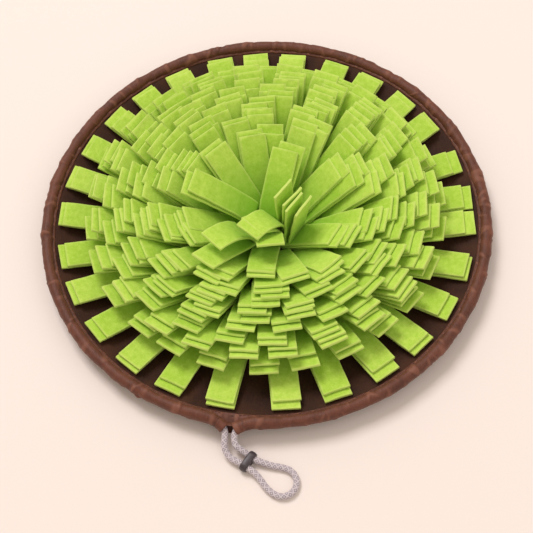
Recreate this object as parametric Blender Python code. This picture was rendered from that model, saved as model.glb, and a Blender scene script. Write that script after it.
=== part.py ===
"""Snuffle mat: a round cloth dish full of doubled felt strips, gathered by a drawcord.

A round base cloth lies flat on the floor in its middle and turns up towards its edge, where a
gathered casing runs round it like a tube. The casing is open for a short way at the front, where
both ends of the drawcord come out, run through a two-hole toggle and close in a loop on the
floor. Felt strips, each folded in half at its root, are sewn to the base in rings. The outer
ring lies low and reaches the casing, and the rings inside it lean outwards over one another.

Metres, +Z up, the floor at z = 0, the origin under the middle of the base, the camera side at -Y.
"""

import math
import random
from collections import namedtuple

import bmesh
import bpy
from mathutils import Vector

# ---------------------------------------------------------------- driving dimensions

MAT_RADIUS = 0.225           # middle of the mat to the outside of the casing
CASING_RADIUS = 0.006        # the casing's tube
CASING_HEIGHT = 0.019        # middle of that tube above the floor
CASING_STATIONS = 84
CASING_SIDES = 10
PUCKER_DEPTH = 0.0005        # how far the gathers swell and pinch the tube
PUCKER_COUNTS = (57, 23)     # gathers round the rim, fine and coarse

GAP_ANGLE = math.radians(258.2)   # where the casing is open for the drawcord
MOUTH_OFFSET = 0.0072        # middle of each mouth to the middle of the gap
MOUTH_BULGE = 0.0075         # how far the cord drags each mouth outwards
MOUTH_DROP = 0.003           # and down
MOUTH_REACH = 0.0155         # length of casing that the cord bends
MOUTH_RADIUS = 0.0036        # bore that the cord comes out of
MOUTH_DEPTH = 0.005

BASE_THICKNESS = 0.0016
BASE_FLAT_RADIUS = 0.130     # the base is flat on the floor inside this
BASE_EDGE_RISE = 0.0165      # its underside at the edge, above the floor
BASE_RISE_POWER = 2.2
BASE_SIDES = 48
BASE_RINGS = 4
CLEARANCE = 0.0003           # between neighbouring pieces

FELT_THICKNESS = 0.0025
FELT_WIDTH = 0.027
PINCHED_WIDTH = 0.024        # width of an outer strip where it is stitched down
PINCH_LENGTH = 0.012
LEAF_GAP = 0.0006            # between the two leaves of a strip at its fold
ROOT_HEIGHT = 0.0020         # middle of the lower leaf above the base cloth, at the fold

CORD_RADIUS = 0.003
CORD_STEP = 0.0055
TOGGLE_LENGTH = 0.021
TOGGLE_HEIGHT = 0.0106
TOGGLE_DEPTH = 0.0068
TOGGLE_HOLE_RADIUS = 0.00335
TOGGLE_HOLE_OFFSET = 0.0052
TOGGLE_CENTRE = Vector((-0.0310, -0.2497, 0.0056))
TOGGLE_TURN = math.radians(51.7)   # from +X to its long axis

# One row for each ring of strips. Radii and lengths in metres, angles in degrees: the first
# strip's place, the slope at the root and at the tip, how far the upper leaf fans away from the
# lower one, and the largest chance turn sideways and up or down.
Ring = namedtuple("Ring", "name count root first slope tip_slope length fan sway lift")
OUTER = Ring("felt_outer", 28, 0.1235, 272.0, 12.0, 10.5, 0.0855, 0.5, 2.5, 0.0)
INNER_RINGS = (
    Ring("felt_ring_2", 24, 0.1045, 3.8, 40.0, 32.0, 0.0800, 1.5, 4.0, 1.2),
    Ring("felt_ring_3", 20, 0.0870, 5.0, 47.0, 39.0, 0.0800, 1.2, 4.5, 1.0),
    Ring("felt_ring_4", 16, 0.0692, 12.0, 47.0, 39.5, 0.0815, 1.0, 5.0, 0.7),
    Ring("felt_ring_5", 12, 0.0515, 4.0, 46.5, 39.0, 0.0830, 0.6, 5.0, 0.4),
    Ring("felt_ring_6", 8, 0.0365, 14.0, 45.0, 38.0, 0.0825, 0.5, 4.0, 0.3),
)
SEAM_SPACING = 17.0          # degrees between the outer ring's first and last strips
WAVE = 3.6                   # the outer strips drift from even spacing and back, in degrees
CROWDED = {6: 5.0, 7: -6.0, 8: -6.0}   # outer strips that lean on each other, turned in degrees
SHORTENING = (0.003, 0.010)  # upper leaf shorter than the lower by this much
LEAF_SLEW = 1.5              # degrees between the two leaves of a strip
SEED = 11

# One row for each folded strip in the middle, where they overlap like the blades of a fan. The
# root's place in metres, its heading in degrees, then each leaf's turn from that heading, slope
# at the root and at the tip, and length.
Middle = namedtuple(
    "Middle",
    "x y z heading low_turn low_slope low_tip low_length high_turn high_slope high_tip high_length",
)
MIDDLES = (
    Middle(-0.002, 0.018, 0.0036, 97, 1, 42, 36, 0.083, -1, 43, 37, 0.078),
    Middle(-0.011, 0.0130, 0.0150, 129, 1, 40, 34, 0.079, -1, 41, 35, 0.074),
    Middle(-0.0130, 0.0025, 0.0255, 164, 1, 34, 27, 0.077, -2, 35, 28, 0.072),
    Middle(0.0055, 0.0020, 0.0200, 70, -5, 34, 29, 0.074, 0, 36, 30, 0.067),
    Middle(-0.0197, -0.0044, 0.0036, 193.5, 1, 42, 36, 0.083, -1, 42, 37, 0.079),
    Middle(-0.0201, -0.0228, 0.0208, 228, 1, 37, 32, 0.078, -6, 76, 12, 0.068),
    Middle(0.0006, -0.0195, 0.0036, 263.5, -2, 43, 37, 0.083, 9, 80, 30, 0.074),
    Middle(0.0222, -0.0090, 0.0060, 138, 3, 87, 85, 0.074, -2, 93, 92, 0.070),
)

# The drawcord's route between its two bends at the mouths: out to the toggle, round the loop on
# the floor, and back from the toggle.
CORD_BEND_RADIUS = 0.0128
CORD_BEND_FALL = 0.38        # how steeply the cord drops as it leaves a mouth
CORD_OUT = (
    (-0.0517, -0.2345, 0.0098), (-0.0505, -0.2396, 0.0074), (-0.0476, -0.2442, 0.0060),
    (-0.0434, -0.2476, 0.0056),
)
CORD_LOOP = (
    (-0.0252, -0.2612, 0.0047), (-0.0208, -0.2670, 0.0035), (-0.0164, -0.2740, 0.0032),
    (-0.0112, -0.2797, 0.0032), (-0.0049, -0.2834, 0.0032), (0.0024, -0.2833, 0.0032),
    (0.0085, -0.2793, 0.0032), (0.0116, -0.2727, 0.0032), (0.0107, -0.2654, 0.0032),
    (0.0061, -0.2597, 0.0032), (-0.0012, -0.2565, 0.0032), (-0.0088, -0.2546, 0.0034),
    (-0.0162, -0.2520, 0.0046),
)
CORD_BACK = (
    (-0.0372, -0.2404, 0.0062), (-0.0422, -0.2372, 0.0092),
)


def clear_scene():
    """Remove every object, so that the script starts from nothing."""
    for item in list(bpy.data.objects):
        bpy.data.objects.remove(item, do_unlink=True)


def make_material(name, colour, roughness, metallic=0.0):
    """Return a plain Principled BSDF material."""
    material = bpy.data.materials.new(name)
    material.use_nodes = True
    shader = material.node_tree.nodes["Principled BSDF"]
    shader.inputs["Base Color"].default_value = (*colour, 1.0)
    shader.inputs["Roughness"].default_value = roughness
    shader.inputs["Metallic"].default_value = metallic
    return material


def make_object(name, points, faces, material, smooth_degrees=None):
    """Make an object from points and faces, with its faces turned outwards."""
    mesh = bpy.data.meshes.new(name)
    mesh.from_pydata([tuple(point) for point in points], [], faces)
    work = bmesh.new()
    work.from_mesh(mesh)
    bmesh.ops.recalc_face_normals(work, faces=work.faces)
    work.to_mesh(mesh)
    work.free()
    mesh.materials.append(material)
    if smooth_degrees is not None:
        mesh.shade_smooth()
        mesh.set_sharp_from_angle(angle=math.radians(smooth_degrees))
    made = bpy.data.objects.new(name, mesh)
    bpy.context.scene.collection.objects.link(made)
    return made


def ring_faces(start_a, start_b, count):
    """Return the quads between two rings of points that start at these numbers."""
    faces = []
    for side in range(count):
        following = (side + 1) % count
        faces.append((start_a + side, start_a + following, start_b + following, start_b + side))
    return faces


def outward(angle):
    """Return the level direction away from the middle at this angle."""
    return Vector((math.cos(angle), math.sin(angle), 0.0))


def around(angle):
    """Return the level direction round the mat, anticlockwise, at this angle."""
    return Vector((-math.sin(angle), math.cos(angle), 0.0))


# ---------------------------------------------------------------- base cloth

BASE_EDGE_RADIUS = MAT_RADIUS - 2.0 * CASING_RADIUS - PUCKER_DEPTH - CLEARANCE


def base_underside(radius):
    """Return the height of the base cloth's underside at this radius."""
    share = max(0.0, (radius - BASE_FLAT_RADIUS) / (BASE_EDGE_RADIUS - BASE_FLAT_RADIUS))
    return BASE_EDGE_RISE * share ** BASE_RISE_POWER


def build_base(material):
    """Make the round base cloth: flat in its middle, turned up towards its edge."""
    radii = []
    for step in range(BASE_RINGS + 1):
        radii.append(BASE_FLAT_RADIUS + (BASE_EDGE_RADIUS - BASE_FLAT_RADIUS) * step / BASE_RINGS)
    rings = [(radius, base_underside(radius)) for radius in radii]
    rings += [(radius, base_underside(radius) + BASE_THICKNESS) for radius in reversed(radii)]
    points = []
    for radius, height in rings:
        for side in range(BASE_SIDES):
            points.append(outward(math.tau * side / BASE_SIDES) * radius + Vector((0, 0, height)))
    faces = []
    for ring in range(len(rings) - 1):
        faces += ring_faces(ring * BASE_SIDES, (ring + 1) * BASE_SIDES, BASE_SIDES)
    faces.append(tuple(reversed(range(BASE_SIDES))))
    last = (len(rings) - 1) * BASE_SIDES
    faces.append(tuple(range(last, last + BASE_SIDES)))
    return make_object("base_mat", points, faces, material, 30)


# ---------------------------------------------------------------- drawcord casing

CASING_LINE_RADIUS = MAT_RADIUS - CASING_RADIUS
HALF_GAP_ANGLE = MOUTH_OFFSET / CASING_LINE_RADIUS


def casing_point(angle):
    """Return the middle of the casing's tube, with both mouths bent outwards and down."""
    from_gap = abs((angle - GAP_ANGLE + math.pi) % math.tau - math.pi)
    along = max(0.0, from_gap - HALF_GAP_ANGLE) * CASING_LINE_RADIUS
    bend = max(0.0, 1.0 - along / MOUTH_REACH) ** 2
    radius = CASING_LINE_RADIUS + MOUTH_BULGE * bend
    return outward(angle) * radius + Vector((0, 0, CASING_HEIGHT - MOUTH_DROP * bend))


def casing_angles():
    """Return the angles of the casing's stations, closer together at the mouths."""
    first = GAP_ANGLE + HALF_GAP_ANGLE
    last = GAP_ANGLE + math.tau - HALF_GAP_ANGLE
    close = [0.0025, 0.005, 0.0085, 0.0125, 0.0170]
    near = [first] + [first + step / CASING_LINE_RADIUS for step in close]
    far = [last - step / CASING_LINE_RADIUS for step in reversed(close)] + [last]
    between = []
    for step in range(1, CASING_STATIONS):
        between.append(near[-1] + (far[0] - near[-1]) * step / CASING_STATIONS)
    return near + between + far


def casing_ring(angle, radius, puckered):
    """Return one ring of the casing's tube, square to its middle line."""
    nudge = 0.0005
    heading = (casing_point(angle + nudge) - casing_point(angle - nudge)).normalized()
    sideways = heading.cross(Vector((0, 0, 1))).normalized()
    upwards = sideways.cross(heading)
    points = []
    for side in range(CASING_SIDES):
        turn = math.tau * (side + 0.5) / CASING_SIDES
        size = radius
        if puckered:
            fine = math.sin(PUCKER_COUNTS[0] * angle + 2.0 * math.sin(turn))
            coarse = math.sin(PUCKER_COUNTS[1] * angle + 1.3 * math.cos(turn))
            size += PUCKER_DEPTH * (0.5 * fine + 0.5 * coarse)
        points.append(casing_point(angle) + size * (math.cos(turn) * sideways + math.sin(turn) * upwards))
    return points


def build_casing(material):
    """Make the gathered tube round the edge, with a bored mouth at each end."""
    angles = casing_angles()
    depth = MOUTH_DEPTH / CASING_LINE_RADIUS
    rings = [casing_ring(angles[0] + depth, MOUTH_RADIUS, False)]
    rings.append(casing_ring(angles[0], MOUTH_RADIUS, False))
    for number, angle in enumerate(angles):
        rings.append(casing_ring(angle, CASING_RADIUS, 0 < number < len(angles) - 1))
    rings.append(casing_ring(angles[-1], MOUTH_RADIUS, False))
    rings.append(casing_ring(angles[-1] - depth, MOUTH_RADIUS, False))
    points = [point for ring in rings for point in ring]
    faces = []
    for ring in range(len(rings) - 1):
        faces += ring_faces(ring * CASING_SIDES, (ring + 1) * CASING_SIDES, CASING_SIDES)
    faces.append(tuple(reversed(range(CASING_SIDES))))
    last = (len(rings) - 1) * CASING_SIDES
    faces.append(tuple(range(last, last + CASING_SIDES)))
    return make_object("rim_casing", points, faces, material, 50)


# ---------------------------------------------------------------- felt strips

Leaf = namedtuple("Leaf", "turn slope tip_slope length")


def strip_places(ring, dice):
    """Return each strip's root angle and its own sideways turn, in radians."""
    places = []
    for number in range(ring.count):
        angle = ring.first + 360.0 * number / ring.count
        turn = dice.uniform(-ring.sway, ring.sway)
        if ring is OUTER:
            share = number / (ring.count - 1)
            angle = ring.first + (360.0 - SEAM_SPACING) * share + WAVE * math.sin(math.tau * share)
            turn = CROWDED.get(number, turn)
        places.append((math.radians(angle), math.radians(turn)))
    return places


def strip_sections(angle, start, leaves, width_at):
    """Return the four-cornered sections of one folded strip, lower tip to upper tip."""
    spread = FELT_THICKNESS + LEAF_GAP
    lines = []
    low_slope = math.radians(leaves[0].slope)
    lift = Vector((0, 0, math.cos(low_slope))) - outward(angle) * math.sin(low_slope)
    for number, leaf in enumerate(leaves):
        heading = outward(angle + leaf.turn)
        side = around(angle + leaf.turn)
        point = start + lift * spread * number
        line = []
        for share in (0.0, 0.5, 1.0):
            slope = math.radians(leaf.slope + (leaf.tip_slope - leaf.slope) * share)
            normal = Vector((0, 0, math.cos(slope))) - heading * math.sin(slope)
            if share > 0.0:
                middle = math.radians(leaf.slope + (leaf.tip_slope - leaf.slope) * (share - 0.25))
                step = heading * math.cos(middle) + Vector((0, 0, math.sin(middle)))
                point = point + step * leaf.length * 0.5
            line.append((point, side, normal, width_at(share * leaf.length)))
        lines.append(line)
    lower, upper = lines
    low_root, side, normal, width = lower[0]
    high_root = upper[0][0]
    across = (high_root - low_root).normalized()
    inward = across.cross(around(angle)).normalized()
    fold = (low_root + high_root) * 0.5 + inward * spread * 0.5
    sections = []
    for point, side, normal, width in reversed(lower):
        sections.append(section(point, side, normal, width))
    sections.append(section(fold, around(angle), -inward, width_at(0.0)))
    for point, side, normal, width in upper:
        sections.append(section(point, side, -normal, width))
    return sections


def section(point, side, normal, width):
    """Return the corners of one cross-section: outer left, outer right, inner right, inner left."""
    half = side * width * 0.5
    rise = normal * FELT_THICKNESS * 0.5
    return [point - half - rise, point + half - rise, point + half + rise, point - half + rise]


def strip_mesh(sections, first_number):
    """Return the points and faces of one folded strip, its ends closed."""
    points = [corner for corners in sections for corner in corners]
    faces = [tuple(first_number + corner for corner in (0, 1, 2, 3))]
    for number in range(len(sections) - 1):
        start = first_number + 4 * number
        faces += ring_faces(start, start + 4, 4)
    last = first_number + 4 * (len(sections) - 1)
    faces.append((last + 3, last + 2, last + 1, last))
    return points, faces


def width_profile(root_width):
    """Return the function that gives a leaf's width at a length from its root."""
    def width_at(length):
        return root_width + (FELT_WIDTH - root_width) * min(1.0, length / PINCH_LENGTH)

    return width_at


def ring_strips(ring, dice):
    """Return the sections of every strip in one ring."""
    strips = []
    width_at = width_profile(PINCHED_WIDTH if ring is OUTER else FELT_WIDTH - LEAF_GAP)
    for angle, turn in strip_places(ring, dice):
        lift = dice.uniform(-ring.lift, ring.lift)
        slew = math.radians(dice.uniform(-LEAF_SLEW, LEAF_SLEW))
        short = dice.uniform(*SHORTENING)
        lower = Leaf(turn, ring.slope + lift, ring.tip_slope + lift, ring.length)
        fan = ring.fan * dice.uniform(0.4, 1.0)
        upper = Leaf(turn + slew, ring.slope + lift + fan, ring.tip_slope + lift + fan, ring.length - short)
        start = outward(angle) * ring.root + Vector((0, 0, BASE_THICKNESS + ROOT_HEIGHT))
        strips.append(strip_sections(angle, start, (lower, upper), width_at))
    return strips


def build_outer_ring(material, dice):
    """Make the outer ring: every folded strip is a piece of its own."""
    for number, sections in enumerate(ring_strips(OUTER, dice)):
        points, faces = strip_mesh(sections, 0)
        make_object(f"{OUTER.name}_{number + 1:02d}", points, faces, material)


def build_middle(material):
    """Make the strips in the middle, each a piece of its own."""
    for number, row in enumerate(MIDDLES):
        lower = Leaf(math.radians(row.low_turn), row.low_slope, row.low_tip, row.low_length)
        upper = Leaf(math.radians(row.high_turn), row.high_slope, row.high_tip, row.high_length)
        start = Vector((row.x, row.y, row.z))
        sections = strip_sections(
            math.radians(row.heading), start, (lower, upper), width_profile(PINCHED_WIDTH)
        )
        points, faces = strip_mesh(sections, 0)
        make_object(f"felt_middle_{number + 1}", points, faces, material)


def build_joined_ring(ring, material, dice):
    """Make one inner ring: its strips are joined side by side along their stitched folds."""
    strips = ring_strips(ring, dice)
    stations = len(strips[0])
    fold = stations // 2
    points = []
    faces = []
    for number, sections in enumerate(strips):
        start = number * 4 * stations
        strip_points, strip_faces = strip_mesh(sections, start)
        points += strip_points
        low = start + 4 * (fold - 1)
        right_side = {low + 1, low + 2, low + 5, low + 6}
        left_side = {low, low + 3, low + 4, low + 7}
        faces += [face for face in strip_faces if set(face) not in (right_side, left_side)]
        across = ((number + 1) % len(strips)) * 4 * stations + 4 * (fold - 1)
        mine = (low + 1, low + 2, low + 6, low + 5)
        theirs = (across, across + 3, across + 7, across + 4)
        for corner in range(4):
            following = (corner + 1) % 4
            faces.append((mine[corner], mine[following], theirs[following], theirs[corner]))
    make_object(ring.name, points, faces, material)


# ---------------------------------------------------------------- drawcord and toggle


def mouth_run(side):
    """Return the cord's points from inside one mouth, through its bend, to straight outwards."""
    mouth = GAP_ANGLE + side * HALF_GAP_ANGLE
    inside = 0.8 * MOUTH_DEPTH / CASING_LINE_RADIUS
    run = [casing_point(mouth + side * inside * share) for share in (1.0, 0.4)]
    place = casing_point(mouth)
    heading = place - casing_point(mouth + side * 0.002)
    bearing = math.atan2(heading.y, heading.x)
    turn = (GAP_ANGLE - bearing + math.pi) % math.tau - math.pi
    steps = 3
    for step in range(steps):
        bearing += turn / steps * 0.5
        length = CORD_BEND_RADIUS * abs(turn) / steps
        place = place + outward(bearing) * length - Vector((0, 0, length * CORD_BEND_FALL))
        bearing += turn / steps * 0.5
        run.append(place)
    return run


def cord_route():
    """Return the points that the cord runs through, from mouth to mouth."""
    long_axis = outward(TOGGLE_TURN)
    hole_axis = -around(TOGGLE_TURN)
    reach = TOGGLE_DEPTH * 0.75
    there = TOGGLE_CENTRE - long_axis * TOGGLE_HOLE_OFFSET
    back = TOGGLE_CENTRE + long_axis * TOGGLE_HOLE_OFFSET
    route = mouth_run(-1) + [Vector(point) for point in CORD_OUT]
    route += [there - hole_axis * reach, there, there + hole_axis * reach]
    route += [Vector(point) for point in CORD_LOOP]
    route += [back + hole_axis * reach, back, back - hole_axis * reach]
    route += [Vector(point) for point in CORD_BACK] + mouth_run(1)[::-1]
    return route


def smooth_line(route, step):
    """Return points about one step apart on a smooth curve through the route."""
    ends = [2 * route[0] - route[1]] + route + [2 * route[-1] - route[-2]]
    line = [route[0]]
    for number in range(1, len(ends) - 2):
        before, start, end, after = ends[number - 1:number + 3]
        pieces = max(1, round((end - start).length / step))
        for piece in range(1, pieces + 1):
            share = piece / pieces
            curve = 2.0 * start + (end - before) * share
            curve += (2.0 * before - 5.0 * start + 4.0 * end - after) * share ** 2
            curve += (3.0 * start - before - 3.0 * end + after) * share ** 3
            line.append(curve * 0.5)
    return line


def build_cord(material):
    """Make the drawcord as a tube along its smooth line."""
    curve = bpy.data.curves.new("drawcord", "CURVE")
    curve.dimensions = "3D"
    curve.bevel_depth = CORD_RADIUS
    curve.bevel_resolution = 2
    curve.use_fill_caps = True
    line = smooth_line(cord_route(), CORD_STEP)
    spline = curve.splines.new("POLY")
    spline.points.add(len(line) - 1)
    for point, place in zip(spline.points, line):
        point.co = (*place, 1.0)
    curve.materials.append(material)
    made = bpy.data.objects.new("drawcord", curve)
    bpy.context.scene.collection.objects.link(made)


def stadium(length, height, sides):
    """Return the outline of an oval slider: two straight sides and round ends."""
    radius = height * 0.5
    straight = length * 0.5 - radius
    outline = []
    for end, centre in ((0.0, straight), (math.pi, -straight)):
        for side in range(sides + 1):
            turn = end - math.pi / 2 + math.pi * side / sides
            outline.append((centre + radius * math.cos(turn), radius * math.sin(turn)))
    return outline


def build_toggle(material):
    """Make the oval slider and cut its two cord holes."""
    long_axis = outward(TOGGLE_TURN)
    hole_axis = -around(TOGGLE_TURN)
    up = Vector((0, 0, 1))
    outline = stadium(TOGGLE_LENGTH, TOGGLE_HEIGHT, 8)
    points = []
    bevel = 0.0008
    layers = ((-0.5, bevel), (-0.5 + bevel / TOGGLE_DEPTH, 0), (0.5 - bevel / TOGGLE_DEPTH, 0), (0.5, bevel))
    for share, inset in layers:
        shrink_long = 1.0 - 2.0 * inset / TOGGLE_LENGTH
        shrink_high = 1.0 - 2.0 * inset / TOGGLE_HEIGHT
        for along, height in outline:
            place = long_axis * along * shrink_long + up * height * shrink_high
            points.append(TOGGLE_CENTRE + place + hole_axis * TOGGLE_DEPTH * share)
    count = len(outline)
    faces = [tuple(reversed(range(count)))]
    for layer in range(len(layers) - 1):
        faces += ring_faces(layer * count, (layer + 1) * count, count)
    faces.append(tuple(range((len(layers) - 1) * count, len(layers) * count)))
    toggle = make_object("cord_toggle", points, faces, material, 40)
    for side in (-1, 1):
        cutter = make_hole_cutter(TOGGLE_CENTRE + long_axis * TOGGLE_HOLE_OFFSET * side, hole_axis)
        cut = toggle.modifiers.new(cutter.name, "BOOLEAN")
        cut.operation = "DIFFERENCE"
        cut.object = cutter
        cut.solver = "EXACT"


def make_hole_cutter(centre, axis):
    """Make the rod that cuts one cord hole. It is a guide and not part of the mat."""
    sides = 16
    across = axis.cross(Vector((0, 0, 1))).normalized()
    up = across.cross(axis)
    points = []
    for end in (-1, 1):
        for side in range(sides):
            turn = math.tau * side / sides
            place = TOGGLE_HOLE_RADIUS * (math.cos(turn) * across + math.sin(turn) * up)
            points.append(centre + place + axis * TOGGLE_DEPTH * end)
    faces = ring_faces(0, sides, sides) + [tuple(reversed(range(sides))), tuple(range(sides, 2 * sides))]
    cutter = make_object("hole_cutter", points, faces, bpy.data.materials["toggle_plastic"])
    cutter.hide_render = True
    cutter.display_type = "WIRE"
    return cutter


# ---------------------------------------------------------------- the mat


def main():
    """Build every piece of the mat."""
    clear_scene()
    dice = random.Random(SEED)
    felt = make_material("lime_felt", (0.42, 0.58, 0.08), 0.95)
    build_base(make_material("base_cloth", (0.035, 0.014, 0.007), 0.8))
    build_casing(make_material("casing_cloth", (0.13, 0.055, 0.033), 0.5))
    build_outer_ring(felt, dice)
    for ring in INNER_RINGS:
        build_joined_ring(ring, felt, dice)
    build_middle(felt)
    build_cord(make_material("cord_braid", (0.53, 0.48, 0.50), 0.85))
    build_toggle(make_material("toggle_plastic", (0.03, 0.025, 0.028), 0.4))


main()
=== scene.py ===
"""Snuffle mat: folded felt strips sewn in rings on a round gathered cloth, with a drawcord.

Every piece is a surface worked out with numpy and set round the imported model, which is loaded as
a fixed frame. Metres, +Z up, the floor at z = 0, the drawcord's side at -Y.
"""

import logging
import math
import random
from collections.abc import Sequence
from dataclasses import dataclass, field
from enum import Enum

import bpy
import numpy as np
from mathutils import Matrix, Vector

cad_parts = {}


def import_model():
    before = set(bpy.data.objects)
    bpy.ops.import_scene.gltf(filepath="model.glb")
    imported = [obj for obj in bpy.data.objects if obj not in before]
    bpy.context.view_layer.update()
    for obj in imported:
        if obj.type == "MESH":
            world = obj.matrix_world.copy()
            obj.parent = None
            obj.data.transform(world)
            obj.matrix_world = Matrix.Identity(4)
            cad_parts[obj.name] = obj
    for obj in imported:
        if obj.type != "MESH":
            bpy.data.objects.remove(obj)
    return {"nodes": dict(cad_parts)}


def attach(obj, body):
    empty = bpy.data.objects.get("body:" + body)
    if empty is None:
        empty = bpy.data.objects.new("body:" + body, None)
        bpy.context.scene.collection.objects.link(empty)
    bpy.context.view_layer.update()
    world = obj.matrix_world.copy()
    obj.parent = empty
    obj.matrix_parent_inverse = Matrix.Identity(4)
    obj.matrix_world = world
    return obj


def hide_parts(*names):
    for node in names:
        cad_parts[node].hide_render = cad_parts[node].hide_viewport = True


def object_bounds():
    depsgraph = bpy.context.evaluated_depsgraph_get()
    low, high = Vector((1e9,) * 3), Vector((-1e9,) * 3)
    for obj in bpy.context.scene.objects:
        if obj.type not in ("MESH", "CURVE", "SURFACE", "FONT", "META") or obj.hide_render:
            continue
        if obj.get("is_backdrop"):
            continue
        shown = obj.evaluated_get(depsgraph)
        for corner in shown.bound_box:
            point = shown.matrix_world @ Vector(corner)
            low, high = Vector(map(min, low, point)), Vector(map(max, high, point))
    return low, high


LOG = logging.getLogger("snuffle_mat")
BODY = "root"
FULL_TURN = 2.0 * math.pi

Array = np.ndarray
Colour = tuple[float, float, float, float]
Socket = bpy.types.NodeSocket
Material = bpy.types.Material
Piece = bpy.types.Object


class Slot(Enum):
    """The material slots."""

    FELT = "lime_felt"
    BASE = "base_cloth"
    CASING = "casing_cloth"
    CORD = "cord_braid"
    TOGGLE = "toggle_plastic"


# ---------------------------------------------------------------- directions and smooth curves


def outward(angle: Array | float) -> Array:
    """Return the level direction away from the middle, (cos, sin, 0)."""
    return np.stack([np.cos(angle), np.sin(angle), np.zeros_like(angle)], axis=-1)


def around(angle: Array | float) -> Array:
    """Return the level direction anticlockwise round the mat, (-sin, cos, 0)."""
    return np.stack([-np.sin(angle), np.cos(angle), np.zeros_like(angle)], axis=-1)


def upward(height: Array | float = 1.0) -> Array:
    """Return (0, 0, height)."""
    height = np.asarray(height, dtype=float)
    return np.stack([np.zeros_like(height), np.zeros_like(height), height], axis=-1)


def turns(count: int) -> Array:
    """Return so many angles, evenly spaced round a full turn."""
    return np.linspace(0.0, FULL_TURN, count, endpoint=False)


def unit(vectors: Array) -> Array:
    """Return the vectors at length 1."""
    return vectors / np.maximum(np.linalg.norm(vectors, axis=-1, keepdims=True), 1e-12)


def distances(line: Array) -> Array:
    """Return each point's distance from the first, measured along the line."""
    return np.concatenate([[0.0], np.cumsum(np.linalg.norm(np.diff(line, axis=0), axis=1))])


def smooth_line(route: Array, step: float) -> Array:
    """Carry a smooth curve through the route and lay points on it an even step apart.

    Between two route points p1 and p2, with p0 before and p3 after, the curve is half of
    2 p1 + (p2 - p0) t + (2 p0 - 5 p1 + 4 p2 - p3) t^2 + (3 p1 - p0 - 3 p2 + p3) t^3.

    Args:
        route: the points to pass through, (n, 3).
        step: the distance between the points that come back.

    Returns:
        The points on the curve, (m, 3).
    """
    ends = np.vstack([2 * route[0] - route[1], route, 2 * route[-1] - route[-2]])
    share = np.linspace(0.0, 1.0, 24, endpoint=False)[None, :, None]
    p0, p1, p2, p3 = (ends[k:len(ends) - 3 + k, None, :] for k in range(4))
    curve = 2 * p1 + (p2 - p0) * share + (2 * p0 - 5 * p1 + 4 * p2 - p3) * share**2
    curve = curve + (3 * p1 - p0 - 3 * p2 + p3) * share**3
    dense = np.vstack([0.5 * curve.reshape(-1, 3), route[-1]])
    along = distances(dense)
    even = np.linspace(0.0, along[-1], max(2, round(along[-1] / step) + 1))
    return np.stack([np.interp(even, along, dense[:, axis]) for axis in range(3)], axis=-1)


def ripple(place: Array, dice: np.random.Generator, waves: int, longest: float) -> Array:
    """Return a slow irregular ripple between about -1 and 1 over level coordinates.

    It is a sum of sine waves, each with its own heading, phase and wavelength down to a third
    of the longest, divided by the root of their number.

    Args:
        place: coordinates in metres, (..., 2).
        dice: the source of the headings, phases and wavelengths.
        waves: how many sine waves are added.
        longest: the longest wavelength in metres.

    Returns:
        The ripple's height at each place, with the shape of place without its last axis.
    """
    total = np.zeros(place.shape[:-1])
    for _ in range(waves):
        heading = dice.uniform(0.0, FULL_TURN)
        reach = longest * dice.uniform(0.33, 1.0)
        phase = dice.uniform(0.0, FULL_TURN)
        run = place[..., 0] * math.cos(heading) + place[..., 1] * math.sin(heading)
        total += np.sin(FULL_TURN * run / reach + phase)
    return total / math.sqrt(waves)


# ---------------------------------------------------------------- meshes from whole arrays


def linked(name: str, data: bpy.types.ID) -> Piece:
    """Make an object of a mesh, light or camera and put it in the scene.

    Args:
        name: its name.
        data: what it shows.

    Returns:
        The object, at the origin.
    """
    made = bpy.data.objects.new(name, data)
    bpy.context.scene.collection.objects.link(made)
    return made


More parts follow.
